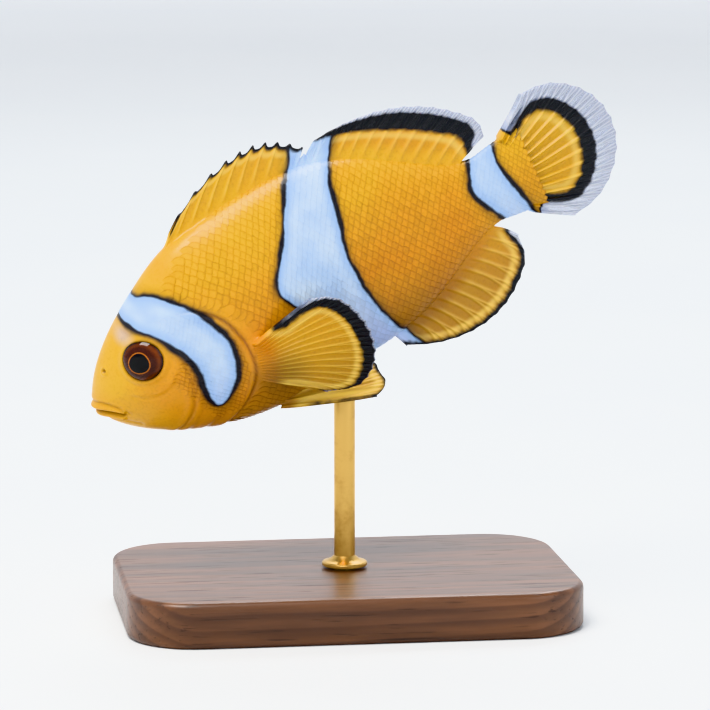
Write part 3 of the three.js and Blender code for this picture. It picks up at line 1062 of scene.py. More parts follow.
@dataclass(frozen=True)
class BodyShell:
    """The body's own closed surface, from the snout into the root of the tail fin."""

    skin: Skin
    head_stations: int = 130
    trunk_stations: int = 150
    sides: int = 320
    neck: float = 22.0
    end: float = 66.0
    bunched: float = 1.45
    thinned: Pair = (4.5, 0.12)
    clear: float = 9.0

    def build(self) -> Shell:
        """Makes the surface.

        Returns:
            The shell, thinned down to the tail fin at its end.
        """
        head = self.neck * np.linspace(0.004, 1, self.head_stations) ** self.bunched
        stations = np.concatenate([head, np.linspace(self.neck, self.end, self.trunk_stations)[1:]])
        turns = (np.arange(self.sides) + 0.5) * 2 * math.pi / self.sides
        along, turn = np.meshgrid(stations, turns, indexing="ij")
        spots, dark = self.skin.at(along, turn)
        reach, least = self.thinned
        spots[..., 0] *= mix(least, 1.0, ease((self.end + 0.2 - along) / reach))
        flat = spots.reshape(-1, 3)
        plain = np.zeros(len(flat))
        faces = closed_faces(flat, self.sides)
        far = self.clear
        return Shell(flat, faces, Kind.BODY, plain + far, plain - far, plain, plain, dark.ravel())


# ---- Pieces of the fish ----


def linked(name: str, data: bpy.types.ID) -> Piece:
    """Sets a new object in the scene.

    Args:
        name: its name.
        data: its mesh, lamp or camera data.

    Returns:
        The object.
    """
    made = bpy.data.objects.new(name, data)
    bpy.context.scene.collection.objects.link(made)
    return made


def mesh_of(name: str, points: Array, faces: Array) -> Mesh:
    """Makes a smooth mesh.

    Args:
        name: its name.
        points: its points, one a row.
        faces: its faces, one a row.

    Returns:
        The mesh.
    """
    mesh = bpy.data.meshes.new(name)
    mesh.from_pydata(points.tolist(), [], faces.tolist())
    mesh.shade_smooth()
    return mesh


def show(name: str, mesh: Mesh, material: Material) -> Piece:
    """Shows a mesh as a piece that rides with the model.

    Args:
        name: the piece's name.
        mesh: its mesh.
        material: its finish.

    Returns:
        The piece.
    """
    mesh.materials.clear()
    mesh.materials.append(material)
    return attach(linked(name, mesh), "root")


@dataclass
class FishSkin:
    """The one skin of the body and all the fins, with the fins' roots faired into the body."""

    skin: Skin
    posture: Posture
    bars: BarField
    tail_root: float = 63.4
    seam: float = 1.1
    rounds: int = 20
    pull: float = 0.55
    tones: tuple[tuple[Kind, float], ...] = (
        (Kind.SOFT_DORSAL, 0.62), (Kind.ANAL, 0.6), (Kind.TAIL, 0.9),
        (Kind.PECTORAL, 0.8), (Kind.PELVIC, 0.85),
    )

    def shells(self) -> list[Shell]:
        """Makes the shells of the straight fish.

        Returns:
            The body's shell first, then every fin's.
        """
        made = [BodyShell(self.skin).build()]
        for fin in FINS:
            made.append(fin.shell())
            if isinstance(fin, PairedFin):
                made.append(made[-1].mirrored())
        return made

    def joined(self, shells: Sequence[Shell]) -> Mesh:
        """Joins closed shells into one closed surface.

        Args:
            shells: the body first, then what grows out of it.

        Returns:
            A mesh in straight millimetres.
        """
        pieces = [linked(f"shell_{number}", mesh_of("shell", shell.spots, shell.faces))
                  for number, shell in enumerate(shells)]
        for other in pieces[1:]:
            union = pieces[0].modifiers.new(other.name, "BOOLEAN")
            union.operation, union.solver, union.object = "UNION", "MANIFOLD", other
        ready = pieces[0].evaluated_get(bpy.context.evaluated_depsgraph_get())
        mesh = bpy.data.meshes.new_from_object(ready)
        for piece in pieces:
            bpy.data.objects.remove(piece)
        return mesh

    def seam_weights(self, spots: Array, on_body: Array, shells: Sequence[Shell]) -> Array:
        """Finds what lies near a seam between the body and a fin.

        Args:
            spots: the points of the joined surface.
            on_body: whether each came from the body's shell.
            shells: the body first, then the fins.

        Returns:
            How strongly each point is drawn into the fairing, from 0 to 1.
        """
        starts = np.cumsum([0] + [len(shell.spots) for shell in shells[1:-1]])
        fins_spots = np.vstack([shell.spots for shell in shells[1:]])
        fins_faces = np.vstack([shell.faces + start for shell, start in zip(shells[1:], starts)])
        body = BVHTree.FromPolygons(shells[0].spots.tolist(), shells[0].faces.tolist())
        fins = BVHTree.FromPolygons(fins_spots.tolist(), fins_faces.tolist())
        weights = np.zeros(len(spots))
        for index, (spot, is_body) in enumerate(zip(spots.tolist(), on_body.tolist())):
            distance = (fins if is_body else body).find_nearest(spot, self.seam)[3]
            if distance is not None:
                weights[index] = 1 - distance / self.seam
        return ease(weights)

    def faired(self, spots: Array, edges: Array, weights: Array) -> Array:
        """Draws the points near a seam to the middle of their neighbours, again and again.

        Args:
            spots: the points.
            edges: pairs of neighbours.
            weights: how strongly each point is drawn.

        Returns:
            The moved points.
        """
        count = np.maximum(np.bincount(edges.ravel(), minlength=len(spots)), 1)[:, None]
        moved = spots.copy()
        for _ in range(self.rounds):
            total = np.zeros_like(moved)
            np.add.at(total, edges[:, 0], moved[edges[:, 1]])
            np.add.at(total, edges[:, 1], moved[edges[:, 0]])
            moved += (self.pull * weights)[:, None] * (total / count - moved)
        return moved

    def nearest(self, spots: Array, shells: Sequence[Shell]) -> Array:
        """Finds which shell vertex is nearest to each point.

        Args:
            spots: the points.
            shells: the shells. The body's vertices behind tail_root are left to the tail fin.

        Returns:
            The vertex's number, counted through all the shells.
        """
        everything = np.vstack([shell.spots for shell in shells])
        kept = np.ones(len(everything), bool)
        kept[:len(shells[0].spots)] = shells[0].spots[:, 1] < self.tail_root
        tree = KDTree(int(kept.sum()))
        for index in np.nonzero(kept)[0].tolist():
            tree.insert(everything[index].tolist(), index)
        tree.balance()
        return np.array([tree.find(spot)[1] for spot in spots.tolist()])

    def marks(self, spots: Array, source: Array, shells: Sequence[Shell]) -> Marks:
        """Works out the markings.

        Args:
            spots: the points of the skin.
            source: the shell vertex that each takes its marks from.
            shells: the shells.

        Returns:
            The markings at each point.
        """
        names = ("inner", "rim", "thin", "ray", "crease_shade")
        inner, rim, thin, ray, crease_shade = (
            np.concatenate([getattr(shell, name) for shell in shells])[source] for name in names
        )
        kinds = np.concatenate([np.full(len(s.spots), s.kind.value) for s in shells])[source]
        tone = body_tone(spots)
        for kind, yellow in self.tones:
            tone = np.where(kinds == kind.value, mix(tone, yellow, thin), tone)
        return Marks(self.bars.at(spots, kinds), inner, rim, tone, crease_shade, thin, spots, ray)

    def build(self, material: Material) -> Piece:
        """Makes the skin and lets it stand for all the flesh nodes.

        Args:
            material: its finish.

        Returns:
            The piece.
        """
        shells = self.shells()
        mesh = self.joined(shells)
        spots = np.empty(len(mesh.vertices) * 3)
        mesh.vertices.foreach_get("co", spots)
        spots = spots.reshape(-1, 3)
        edges = np.empty(len(mesh.edges) * 2, int)
        mesh.edges.foreach_get("vertices", edges)
        source = self.nearest(spots, shells)
        weights = self.seam_weights(spots, source < len(shells[0].spots), shells)
        spots = self.faired(spots, edges.reshape(-1, 2), weights)
        store(mesh, **vars(self.marks(spots, source, shells)))
        mesh.vertices.foreach_set("co", self.posture.place(spots).ravel())
        mesh.shade_smooth()
        mesh.name = "fish_skin"
        piece = show("fish_skin", mesh, material)
        flesh = [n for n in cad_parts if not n.startswith(("eye_", "stand_"))]
        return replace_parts(piece, *flesh)


class Flank:
    """Turns a girth, a distance round the body from the middle of the flank, into a turn."""

    STEPS = 48
    STRIDE = 0.5
    HALF_TURNS = 90
    REACH = (0.5, 68.0)

    def __init__(self, form: BodyForm) -> None:
        """Measures the girth at every place along.

        Args:
            form: the body.
        """
        self.form = form
        self.along = np.arange(*self.REACH, self.STRIDE)
        turns = np.linspace(-math.pi / 2, math.pi / 2, 2 * self.HALF_TURNS + 1)
        along, turn = np.meshgrid(self.along, turns, indexing="ij")
        stride = np.linalg.norm(np.diff(form.spot(along, turn), axis=1), axis=2)
        run = np.concatenate([np.zeros((len(self.along), 1)), np.cumsum(stride, axis=1)], axis=1)
        run -= run[:, self.HALF_TURNS, None]
        self.low, self.high = run[:, 0], run[:, -1]
        share = np.linspace(-1, 1, 2 * self.STEPS + 1)
        self.turns = np.stack([
            np.interp(np.where(share < 0, -share * low, share * high), girths, turns)
            for girths, low, high in zip(run, self.low, self.high)
        ])

    def reach(self, along: Array) -> tuple[Array, Array]:
        """The girth down to the belly, which is negative, and up to the back."""
        return np.interp(along, self.along, self.low), np.interp(along, self.along, self.high)

    def turn(self, along: Array, girth: Array) -> Array:
        """Finds the turns.

        Args:
            along: places along the fish.
            girth: the girth at each.

        Returns:
            The way round the body at each.
        """
        low, high = self.reach(along)
        share = np.where(girth < 0, -girth / low, girth / high)
        return between(self.turns, (along - self.along[0]) / self.STRIDE, (share + 1) * self.STEPS)

    def height(self, along: Array, girth: Array) -> Array:
        """The height of places on the flank over the middle line."""
        return self.form.spot(along, self.turn(along, girth))[..., 2]


@dataclass(frozen=True)
class ScaleField:
    """A field of overlapping scales in staggered rows along the flank, in millimetres."""

    name: str
    begins: float
    ends: float
    pitch: float
    row: float
    keep: Callable[[Array, Array], Array]
    shrink: float = 1.0
    tip_lift: float = 0.15
    most_rows: int = 40

    def size_at(self, along: Number) -> Array:
        """The scales' size at a place, as a share of the full size."""
        return mix(1.0, self.shrink, ease((along - 44) / 20))

    def roots(self, flank: Flank) -> tuple[Array, Array, Array]:
        """Sets the scales out.

        Args:
            flank: the flank that they grow on.

        Returns:
            The place along, the girth and the size of every scale's root.
        """
        stations = [self.begins]
        while stations[-1] < self.ends:
            stations.append(stations[-1] + float(self.pitch * self.size_at(stations[-1])))
        rows = np.arange(-self.most_rows, self.most_rows + 1)
        along, row = np.meshgrid(np.array(stations), rows, indexing="ij")
        along = along + (row % 2) * self.pitch * 0.5 * self.size_at(along)
        size = self.size_at(along)
        girth = row * self.row * size
        low, high = flank.reach(along)
        inside = (girth < high - 0.2 * self.row) & (girth > low + 0.2 * self.row)
        along, girth, size = along[inside], girth[inside], size[inside]
        kept = self.keep(along, flank.height(along, girth))
        return along[kept], girth[kept], size[kept]


@dataclass
class Coat:
    """The scales: thin plates that overlap like tiles and lie along the body.

    A plate has a grid of points: down it at the shares of down, and over it at those of over.
    On the nape they start at a place that moves back by a share of the squared height from another.
    Round the pectoral fin's root, the gill opening's upper corner and the eye is bare room.
    """

    skin: Skin
    posture: Posture
    bars: BarField
    seed: int = 11
    length: float = 2.1
    half_width: float = 1.12
    thickness: float = 0.05
    root_lift: float = -0.07
    curl: float = 0.035
    keel: Pair = (0.02, 0.25)
    point_back: float = 0.34
    most: int = 1900
    patch: float = 0.003
    map_margin: float = 0.02
    map_half: float = 0.45
    map_length: float = 66
    map_girth: float = 44
    nape: float = 7.6
    nape_start: Triple = (15.1, 0.25, 9)
    fin_root: Pair = (22.3, -4.1)
    fin_room: Pair = (1.5, 3.2)
    gill_corner: Pair = (15.2, 7.9)
    gill_room: float = 1.5
    eye_room: float = 4.3
    down: tuple[float, ...] = (0.0, 0.4, 0.72, 0.9, 1.0)
    over: tuple[float, ...] = (-1.0, -0.62, 0.0, 0.62, 1.0)

    def grid(self) -> list[Array]:
        """The shares down and over at each point of a plate."""
        return np.meshgrid(self.down, self.over, indexing="ij")

    def gill_line(self, up: Array) -> Array:
        """The place along of the gill opening at a height."""
        line = smooth_line(self.skin.detail.gill.knots, 8)
        return np.interp(up, line[::-1, 1], line[::-1, 0])

    def on_trunk(self, along: Array, up: Array) -> Array:
        """Tells where the trunk's scales grow: behind the gill opening and on the nape.

        Args:
            along: places along the fish.
            up: heights over its middle line.

        Returns:
            Whether a scale grows at each. None does under the pectoral fin's root.
        """
        start, more, lowest = self.nape_start
        nape_line = start + more * (up - lowest) ** 2
        behind = along > np.where(up > self.nape, nape_line, self.gill_line(up) + 0.35)
        (fin_along, fin_up), (room_along, room_up) = self.fin_root, self.fin_room
        fin = (np.abs(along - fin_along) < room_along) & (np.abs(up - fin_up) < room_up)
        gill = np.hypot(along - self.gill_corner[0], up - self.gill_corner[1]) < self.gill_room
        return behind & ~fin & ~gill

    def on_cheek(self, along: Array, up: Array) -> Array:
        """Tells where the small scales of the cheek and gill cover grow.

        Args:
            along: places along the fish.
            up: heights over its middle line.

        Returns:
            Whether a scale grows at each. None does in a furrow or round the eye.
        """
        eye = self.skin.detail.eye
        clear = np.hypot(along - eye[0], up - eye[1]) > self.eye_room
        ahead = (along < self.gill_line(up) - 1.9) & (up < 7.4)
        _, dark = self.skin.detail.relief(point(5.0, along, up))
        return ahead & clear & (along > 11.2 - 0.2 * up) & (up > -8.6) & (dark < 0.12)

    def fields(self) -> list[ScaleField]:
        """The fields of scales, the smallest on the face."""
        trunk = ScaleField("trunk", 12.5, 64.0, 0.95, 0.72, self.on_trunk, shrink=0.74)
        return [trunk, ScaleField("cheek", 9.0, 20.0, 0.6, 0.46, self.on_cheek, tip_lift=0.1)]

    def outline(self, roots: tuple[Array, Array, Array], scale: ScaleField) -> tuple[Array, Array]:
        """Lays the plates out, each a little longer, wider or more askew than the next.

        Args:
            roots: the place along, girth and size of each.
            scale: the field that they belong to.

        Returns:
            The places along and the girths of the grid points of every plate.
        """
        random = np.random.default_rng(self.seed)
        down, over = self.grid()
        along, girth, size = (each[:, None, None] for each in roots)
        shape = along.shape
        long = self.length * scale.pitch * size * random.uniform(0.95, 1.05, shape)
        wide = self.half_width * scale.row * size * random.uniform(0.96, 1.04, shape)
        twist = random.normal(0, 0.04, shape)
        back = long * down * (1 - self.point_back * over**2)
        round_it = wide * over * (0.7 + 0.3 * np.sin(math.pi * 0.62 * down))
        return along + back - twist * round_it, girth + round_it + twist * back

    def faces(self, plates: int) -> Array:
        """Joins the points of closed plates.

        Args:
            plates: how many there are, each with an upper and a lower grid.

        Returns:
            Quads, one a row.
        """
        rows, columns = len(self.down), len(self.over)
        grid = np.arange(rows * columns).reshape(rows, columns)
        corners = [grid[:-1, :-1], grid[1:, :-1], grid[1:, 1:], grid[:-1, 1:]]
        top = np.stack(corners, axis=-1).reshape(-1, 4)
        ring = np.concatenate([grid[0, :-1], grid[:-1, -1], grid[-1, :0:-1], grid[:0:-1, 0]])
        after, below = np.roll(ring, -1), grid.size
        rim = np.stack([ring, after, after + below, ring + below], axis=-1)
        one = np.vstack([top, top[:, ::-1] + below, rim])
        return (one[None] + (np.arange(plates) * 2 * grid.size)[:, None, None]).reshape(-1, 4)

    def build(self, material: Material) -> list[Piece]:
        """Makes the pieces of the coat, on both sides.

        Args:
            material: their finish.

        Returns:
            The pieces, each holding no more than `most` plates. The pieces, each small
            enough for the bake.
        """
        flank = Flank(self.skin.form)
        pieces = []
        for scale in self.fields():
            roots = scale.roots(flank)
            order = np.argsort(roots[0], kind="stable")
            for part, chosen in enumerate(np.array_split(order, math.ceil(len(order) / self.most))):
                picked = tuple(each[chosen] for each in roots)
                for side, word in ((1, "left"), (-1, "right")):
                    name = f"scales_{scale.name}_{word}_{part + 1}"
                    pieces.append(self.piece(name, scale, flank, picked, side, material))
        return pieces

    def piece(
        self, name: str, scale: ScaleField, flank: Flank, roots: tuple[Array, Array, Array],
        side: int, material: Material,
    ) -> Piece:
        """Makes one piece of the coat.

        Args:
            name: the piece's name.
            scale: the field that it belongs to.
            flank: turns girths into turns.
            roots: the place along, girth and size of each scale.
            side: 1 on the left and -1 on the right.
            material: its finish.

        Returns:
            The piece.
        """
        along, girth = self.outline(roots, scale)
        down, over = self.grid()
        turn = flank.turn(np.clip(along, 0.6, 67), girth)
        rise, width = self.keel
        arch = rise * bell(over, width) - self.curl * over**2
        lift = (mix(self.root_lift, scale.tip_lift, down) + down * arch) * roots[2][:, None, None]
        top, dark = self.skin.at(along, turn, lift)
        under, _ = self.skin.at(along, turn, lift - self.thickness)
        spots = np.stack([top, under], axis=1).reshape(-1, 3) * (side, 1, 1)
        faces = self.faces(len(along))
        mesh = mesh_of(name, self.posture.place(spots), faces if side < 0 else faces[:, ::-1])
        mesh.set_sharp_from_angle(angle=math.radians(50))
        self.write_marks(mesh, spots, np.stack([dark, dark], axis=1).ravel(), len(along))
        self.write_map(mesh, roots, side)
        return show(name, mesh, material)

    def write_marks(self, mesh: Mesh, spots: Array, dark: Array, plates: int) -> None:
        """Stores the markings, the place on the plate and a number of its own for every plate.

        Args:
            mesh: the piece's mesh.
            spots: its straight points.
            dark: the shade painted into the furrows under them.
            plates: how many plates there are.
        """
        down, over = self.grid()
        edge = np.maximum(down, np.abs(over) ** 3 * ease(down * 2))
        own = np.repeat(np.random.default_rng(self.seed + 1).random(plates), 2 * down.size)
        plain, far = np.zeros(len(spots)), BodyShell.clear
        bar = self.bars.at(spots, np.full(len(spots), Kind.BODY.value))
        marks = Marks(bar, plain + far, plain - far, body_tone(spots), dark, plain, spots, plain)
        store(mesh, **vars(marks), edge=np.tile(edge.ravel(), 2 * plates), own=own)

    def write_map(self, mesh: Mesh, roots: tuple[Array, Array, Array], side: int) -> None:
        """Gives every plate a small patch of the OFBake map, at its root's place on the flank.

        Args:
            mesh: the piece's mesh.
            roots: the place along, girth and size of each plate.
            side: 1 on the left and -1 on the right, which has the other half of the map.
        """
        down, over = self.grid()
        along, girth = (each[:, None, None, None] for each in roots[:2])
        across = self.map_margin + self.map_half * along / self.map_length + (0.5 if side < 0 else 0.0)
        shrink = np.array([1.0, 0.8])[:, None, None]
        u = across + self.patch * shrink * (down - 0.5)
        v = 0.5 + girth / self.map_girth + self.patch * shrink * over / 2
        at_vertex = np.stack([u, v], axis=-1).reshape(-1, 2)
        corners = np.empty(len(mesh.loops), int)
        mesh.loops.foreach_get("vertex_index", corners)
        layer = mesh.uv_layers.new(name="OFBake")
        layer.uv.foreach_set("vector", at_vertex[corners].astype(np.float32).ravel())


@dataclass
class Eye:
    """An eyeball set in its socket: a clear wet dome over a bronze iris and a dark pupil."""

    detail: HeadDetail
    posture: Posture
    side: int
    radius: float = 2.78
    bulge: float = 1.5
    depth: float = 0.85
    back: float = 1.3
    pupil: float = 1.3
    pupil_ahead: float = 0.08
    pupil_point: float = 0.12
    rings: int = 40
    back_rings: int = 8
    around: int = 96

    def build(self, material: Material) -> Piece:
        """Makes the eye and lets it stand for the solid one.

        Args:
            material: its finish.

        Returns:
            The piece.
        """
        word = "left" if self.side > 0 else "right"
        centre, outward = self.detail.on_skin(self.detail.eye, self.side)
        forward = unit(np.array([0.0, -1.0, 0.0]) + outward * outward[1])
        upward = np.cross(outward, forward) * -self.side
        share = np.concatenate([np.linspace(0.012, 1, self.rings), np.linspace(0.9, 0.05, self.back_rings)])
        bulge = np.where(np.arange(len(share)) < self.rings, self.bulge, -self.back)
        height = np.sqrt(np.clip(1 - share**2, 0, 1)) * bulge - self.depth
        angle = round_turns(self.around)
        r = (self.radius * share)[:, None] * np.ones(self.around)
        x, y = r * np.cos(angle), r * np.sin(angle)
        spots = centre + x[..., None] * forward + y[..., None] * upward + height[:, None, None] * outward
        flat = spots.reshape(-1, 3)
        mesh = mesh_of(f"eyeball_{word}", self.posture.place(flat), closed_faces(flat, self.around))
        egg = np.hypot(x - self.pupil_ahead, y * (1 + 0.05 * np.cos(angle)))
        pupil = egg - self.pupil - self.pupil_point * np.cos(angle) ** 3
        store(mesh, pupil=pupil, ring=r, face=np.stack([x, y, r * 0], axis=-1))
        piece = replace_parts(show(f"eyeball_{word}", mesh, material), f"eye_{word}")
        return piece


@dataclass
class Stand:
    """The display stand: a walnut base with softened edges and a turned brass rod with a foot.

    The foot is the (radius, height over the base) of its rings, from its rim up into the rod.
    """

    length: float = 60
    width: float = 40
    height: float = 6
    corner: float = 9
    least_corner: float = 0.6
    edge: float = 0.8
    rod: float = 1.4
    rod_top: float = 36.0
    socket: float = 2.7
    gap: float = 0.3
    foot: tuple[Pair, ...] = (
        (2.85, 0), (3.0, 0.1), (3.0, 0.42), (2.88, 0.56), (2.6, 0.64), (2.3, 0.72), (1.95, 0.92),
        (1.68, 1.14), (1.5, 1.3), (1.4, 1.4), (1.4, 9), (1.4, 18),
    )
    tip: tuple[Pair, ...] = ((0.0, 0.5), (0.14, 0.16), (0.5, 0.0))
    sides: int = 72
    hub: float = 0.02

    def ring(self, inset: float, height: float) -> Array:
        """Draws the outline of the base.

        Args:
            inset: how far it is drawn in.
            height: how high it lies.

        Returns:
            Its points, one a row.
        """
        corner = max(self.corner - inset, self.least_corner)
        x, y = self.width / 2 - inset - corner, self.length / 2 - inset - corner
        arcs = []
        for quarter, (cx, cy) in enumerate(((x, y), (-x, y), (-x, -y), (x, -y))):
            angle = (quarter + np.linspace(0, 1, 14)) * math.pi / 2
            around = cx + corner * np.cos(angle), cy + corner * np.sin(angle)
            arcs.append(np.column_stack([*around, np.full(len(angle), height)]))
        return np.vstack(arcs)

    def solid(self, name: str, rings: Array, sides: int, crisp: float, material: Material) -> Piece:
        """Makes a closed piece of the stand.

        Args:
            name: its name.
            rings: the points of its rings, one a row.
            sides: how many points each ring has.
            crisp: the angle in degrees from which an edge stays sharp.
            material: its finish.

        Returns:
            The piece.
        """
        mesh = mesh_of(name, rings * MM, closed_faces(rings, sides))
        mesh.set_sharp_from_angle(angle=math.radians(crisp))
        return show(name, mesh, material)

    def base(self, material: Material) -> Piece:
        """Makes the base plate, with rounded upper and lower edges.

        Args:
            material: its finish.

        Returns:
            The piece.
        """
        turns = np.linspace(0, math.pi / 2, 7)
        low = [(self.edge * (1 - math.sin(t)), self.edge * (1 - math.cos(t))) for t in turns]
        high = [(inset, self.height - z) for inset, z in low[::-1]]
        middle = self.width / 2 - self.edge
        profile = [(middle, 0.0), *low, *high, (3, self.height), (middle, self.height)]
        rings = [self.ring(*each) for each in profile]
        piece = self.solid("stand_plate", np.vstack(rings), len(rings[0]), 35, material)
        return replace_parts(piece, "stand_base")

    def pin(self, material: Material) -> Piece:
        """Makes the rod with its foot, from its socket in the base to its tip in the belly.

        Args:
            material: its finish.

        Returns:
            The piece.
        """
        seat, rod, top = self.height + self.gap, self.rod, self.rod_top
        foot = [(radius, seat + rise) for radius, rise in self.foot]
        tip = [(rod - inset, top - drop) for inset, drop in self.tip]
        ends = (self.hub, self.socket), (self.hub, top)
        profile = [ends[0], (rod, self.socket), (rod, seat), *foot, *tip, ends[1]]
        rings = turned_rings(profile, self.sides)
        piece = self.solid("stand_pin", rings, self.sides, 40, material)
        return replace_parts(piece, "stand_rod")


# ---- Finishes ----


def colour(red: int, green: int, blue: int) -> Colour:
    """Makes a linear colour from one on the usual 0 to 255 scale of screens.

    Args:
        red: its red.
        green: its green.
        blue: its blue.

    Returns:
        Its red, green, blue and alpha.
    """
    parts = [value / 255 for value in (red, green, blue)]
    linear = [v / 12.92 if v <= 0.04045 else ((v + 0.055) / 1.055) ** 2.4 for v in parts]
    return (*linear, 1.0)


class Value:
    """An output of a node that can be reckoned with, which adds the nodes that it takes."""

    def __init__(self, graph: "Graph", socket: Socket) -> None:
        """Keeps the graph and the output."""
        self.graph, self.socket = graph, socket

    def __add__(self, other: "Value | float") -> "Value":
        """A sum."""
        return self.graph.maths("ADD", self, other)

    def __sub__(self, other: "Value | float") -> "Value":
        """A difference."""
        return self.graph.maths("SUBTRACT", self, other)

    def __rsub__(self, other: float) -> "Value":
        """A difference from a number."""
        return self.graph.maths("SUBTRACT", other, self)

    def __mul__(self, other: "Value | float") -> "Value":
        """A product."""
        return self.graph.maths("MULTIPLY", self, other)

    def __abs__(self) -> "Value":
        """The value without its sign."""
        return self.graph.maths("ABSOLUTE", self)

    def step(self, low: float, high: float) -> "Value":
        """A smooth step from 0 at low to 1 at high."""
        inputs = {"Value": self, "From Min": low, "From Max": high}
        return self.graph.value("ShaderNodeMapRange", "Result", inputs, interpolation_type="SMOOTHSTEP")

    def span(self, low: float, high: float) -> "Value":
        """This share spread from low at 0 to high at 1."""
        inputs = {"Value": self, "To Min": low, "To Max": high}
        return self.graph.value("ShaderNodeMapRange", "Result", inputs)

    def scaled(self, by: Triple) -> "Value":
        """This vector stretched along its axes."""
        return self.graph.value("ShaderNodeVectorMath", 0, {0: self, 1: by}, operation="MULTIPLY")

    def distance(self, spot: Triple) -> "Value":
        """How far this vector lies from a spot."""
        return self.graph.value("ShaderNodeVectorMath", "Value", {0: self, 1: spot}, operation="DISTANCE")

    def blend(self, first: "Value | Colour", second: "Value | Colour", way: str = "MIX") -> "Value":
        """This share of a second colour brought into a first."""
        inputs = {0: self, 6: first, 7: second}
        return self.graph.value("ShaderNodeMix", 2, inputs, data_type="RGBA", blend_type=way)


Inputs = dict[str | int, Value | Colour | float]


class Graph:
    """Makes and joins the nodes of one tree."""

    def __init__(self, tree: bpy.types.NodeTree) -> None:
        """Keeps the tree."""
        self.tree = tree

    def node(self, kind: str, inputs: Inputs, **settings: object) -> bpy.types.Node:
        """Makes a node.

        Args:
            kind: its type.
            inputs: what its inputs are linked to or set to, by name or number.
            settings: its settings.

        Returns:
            The node.
        """
        made = self.tree.nodes.new(kind)
        for name, setting in settings.items():
            setattr(made, name, setting)
        for key, value in inputs.items():
            if isinstance(value, Value):
                self.tree.links.new(value.socket, made.inputs[key])
            else:
                made.inputs[key].default_value = value
        return made

    def value(self, kind: str, output: str | int, inputs: Inputs, **settings: object) -> Value:
        """One output of a new node."""
        return Value(self, self.node(kind, inputs, **settings).outputs[output])

    def maths(
        self, operation: str, first: Value | float, second: Value | float = 0.0, clamp: bool = False
    ) -> Value:
        """One operation on numbers, held from 0 to 1 with clamp."""
        inputs = {0: first, 1: second}
        return self.value("ShaderNodeMath", 0, inputs, operation=operation, use_clamp=clamp)

    def noise(self, vector: Value, scale: float, detail: float = 2.0, rough: float = 0.5) -> Value:
        """A cloudy noise from 0 to 1."""
        inputs = {"Vector": vector, "Scale": scale, "Detail": detail, "Roughness": rough}
        return self.value("ShaderNodeTexNoise", "Fac", inputs)

    def attribute(self, name: str, output: str = "Fac") -> Value:
        """A value that the mesh carries."""
        return self.value("ShaderNodeAttribute", output, {}, attribute_name=name)

    def place(self) -> Value:
        """The place on the piece, in metres."""
        return self.value("ShaderNodeTexCoord", "Object", {})

    def bump(self, height: Value, strength: float, distance: float) -> Value:
        """A normal from a height."""
        inputs = {"Height": height, "Strength": strength, "Distance": distance}
        return self.value("ShaderNodeBump", "Normal", inputs)


class SharedGroup:
    """A node group that more than one finish uses. Its inputs are in given, by name."""

    def __init__(self, name: str, inputs: dict[str, str], outputs: dict[str, str]) -> None:
        """Makes the group.

        Args:
            name: its name.
            inputs: the socket type of each input, by name.
            outputs: the socket type of each output, by name.
        """
        self.tree = bpy.data.node_groups.new(name, "ShaderNodeTree")
        for way, sockets in (("INPUT", inputs), ("OUTPUT", outputs)):
            for title, kind in sockets.items():
                self.tree.interface.new_socket(title, in_out=way, socket_type=kind)
        self.graph = Graph(self.tree)
        entry = self.graph.node("NodeGroupInput", {})
        self.given = {title: Value(self.graph, entry.outputs[title]) for title in inputs}

    def give(self, **results: Value) -> None:
        """Links the group's outputs."""
        self.graph.node("NodeGroupOutput", results)


@dataclass(frozen=True)
class Palette:
    """The colours of the fish, and of the shade painted onto it."""

    orange: Colour = colour(202, 122, 22)
    yellow: Colour = colour(206, 158, 36)
    deep: Colour = colour(118, 70, 16)
    dusk_and_shade: Colour = colour(104, 76, 30)
    straw: Colour = colour(224, 190, 92)
    white: Colour = colour(212, 229, 245)
    blue: Colour = colour(158, 190, 232)
    shade_lavender: Colour = colour(160, 176, 220)
    edging: Colour = colour(28, 26, 32)
    black: Colour = colour(8, 9, 16)
    rim: Colour = colour(140, 152, 184)
    ray: Colour = colour(206, 204, 198)
    scale_edge: Colour = colour(150, 110, 80)


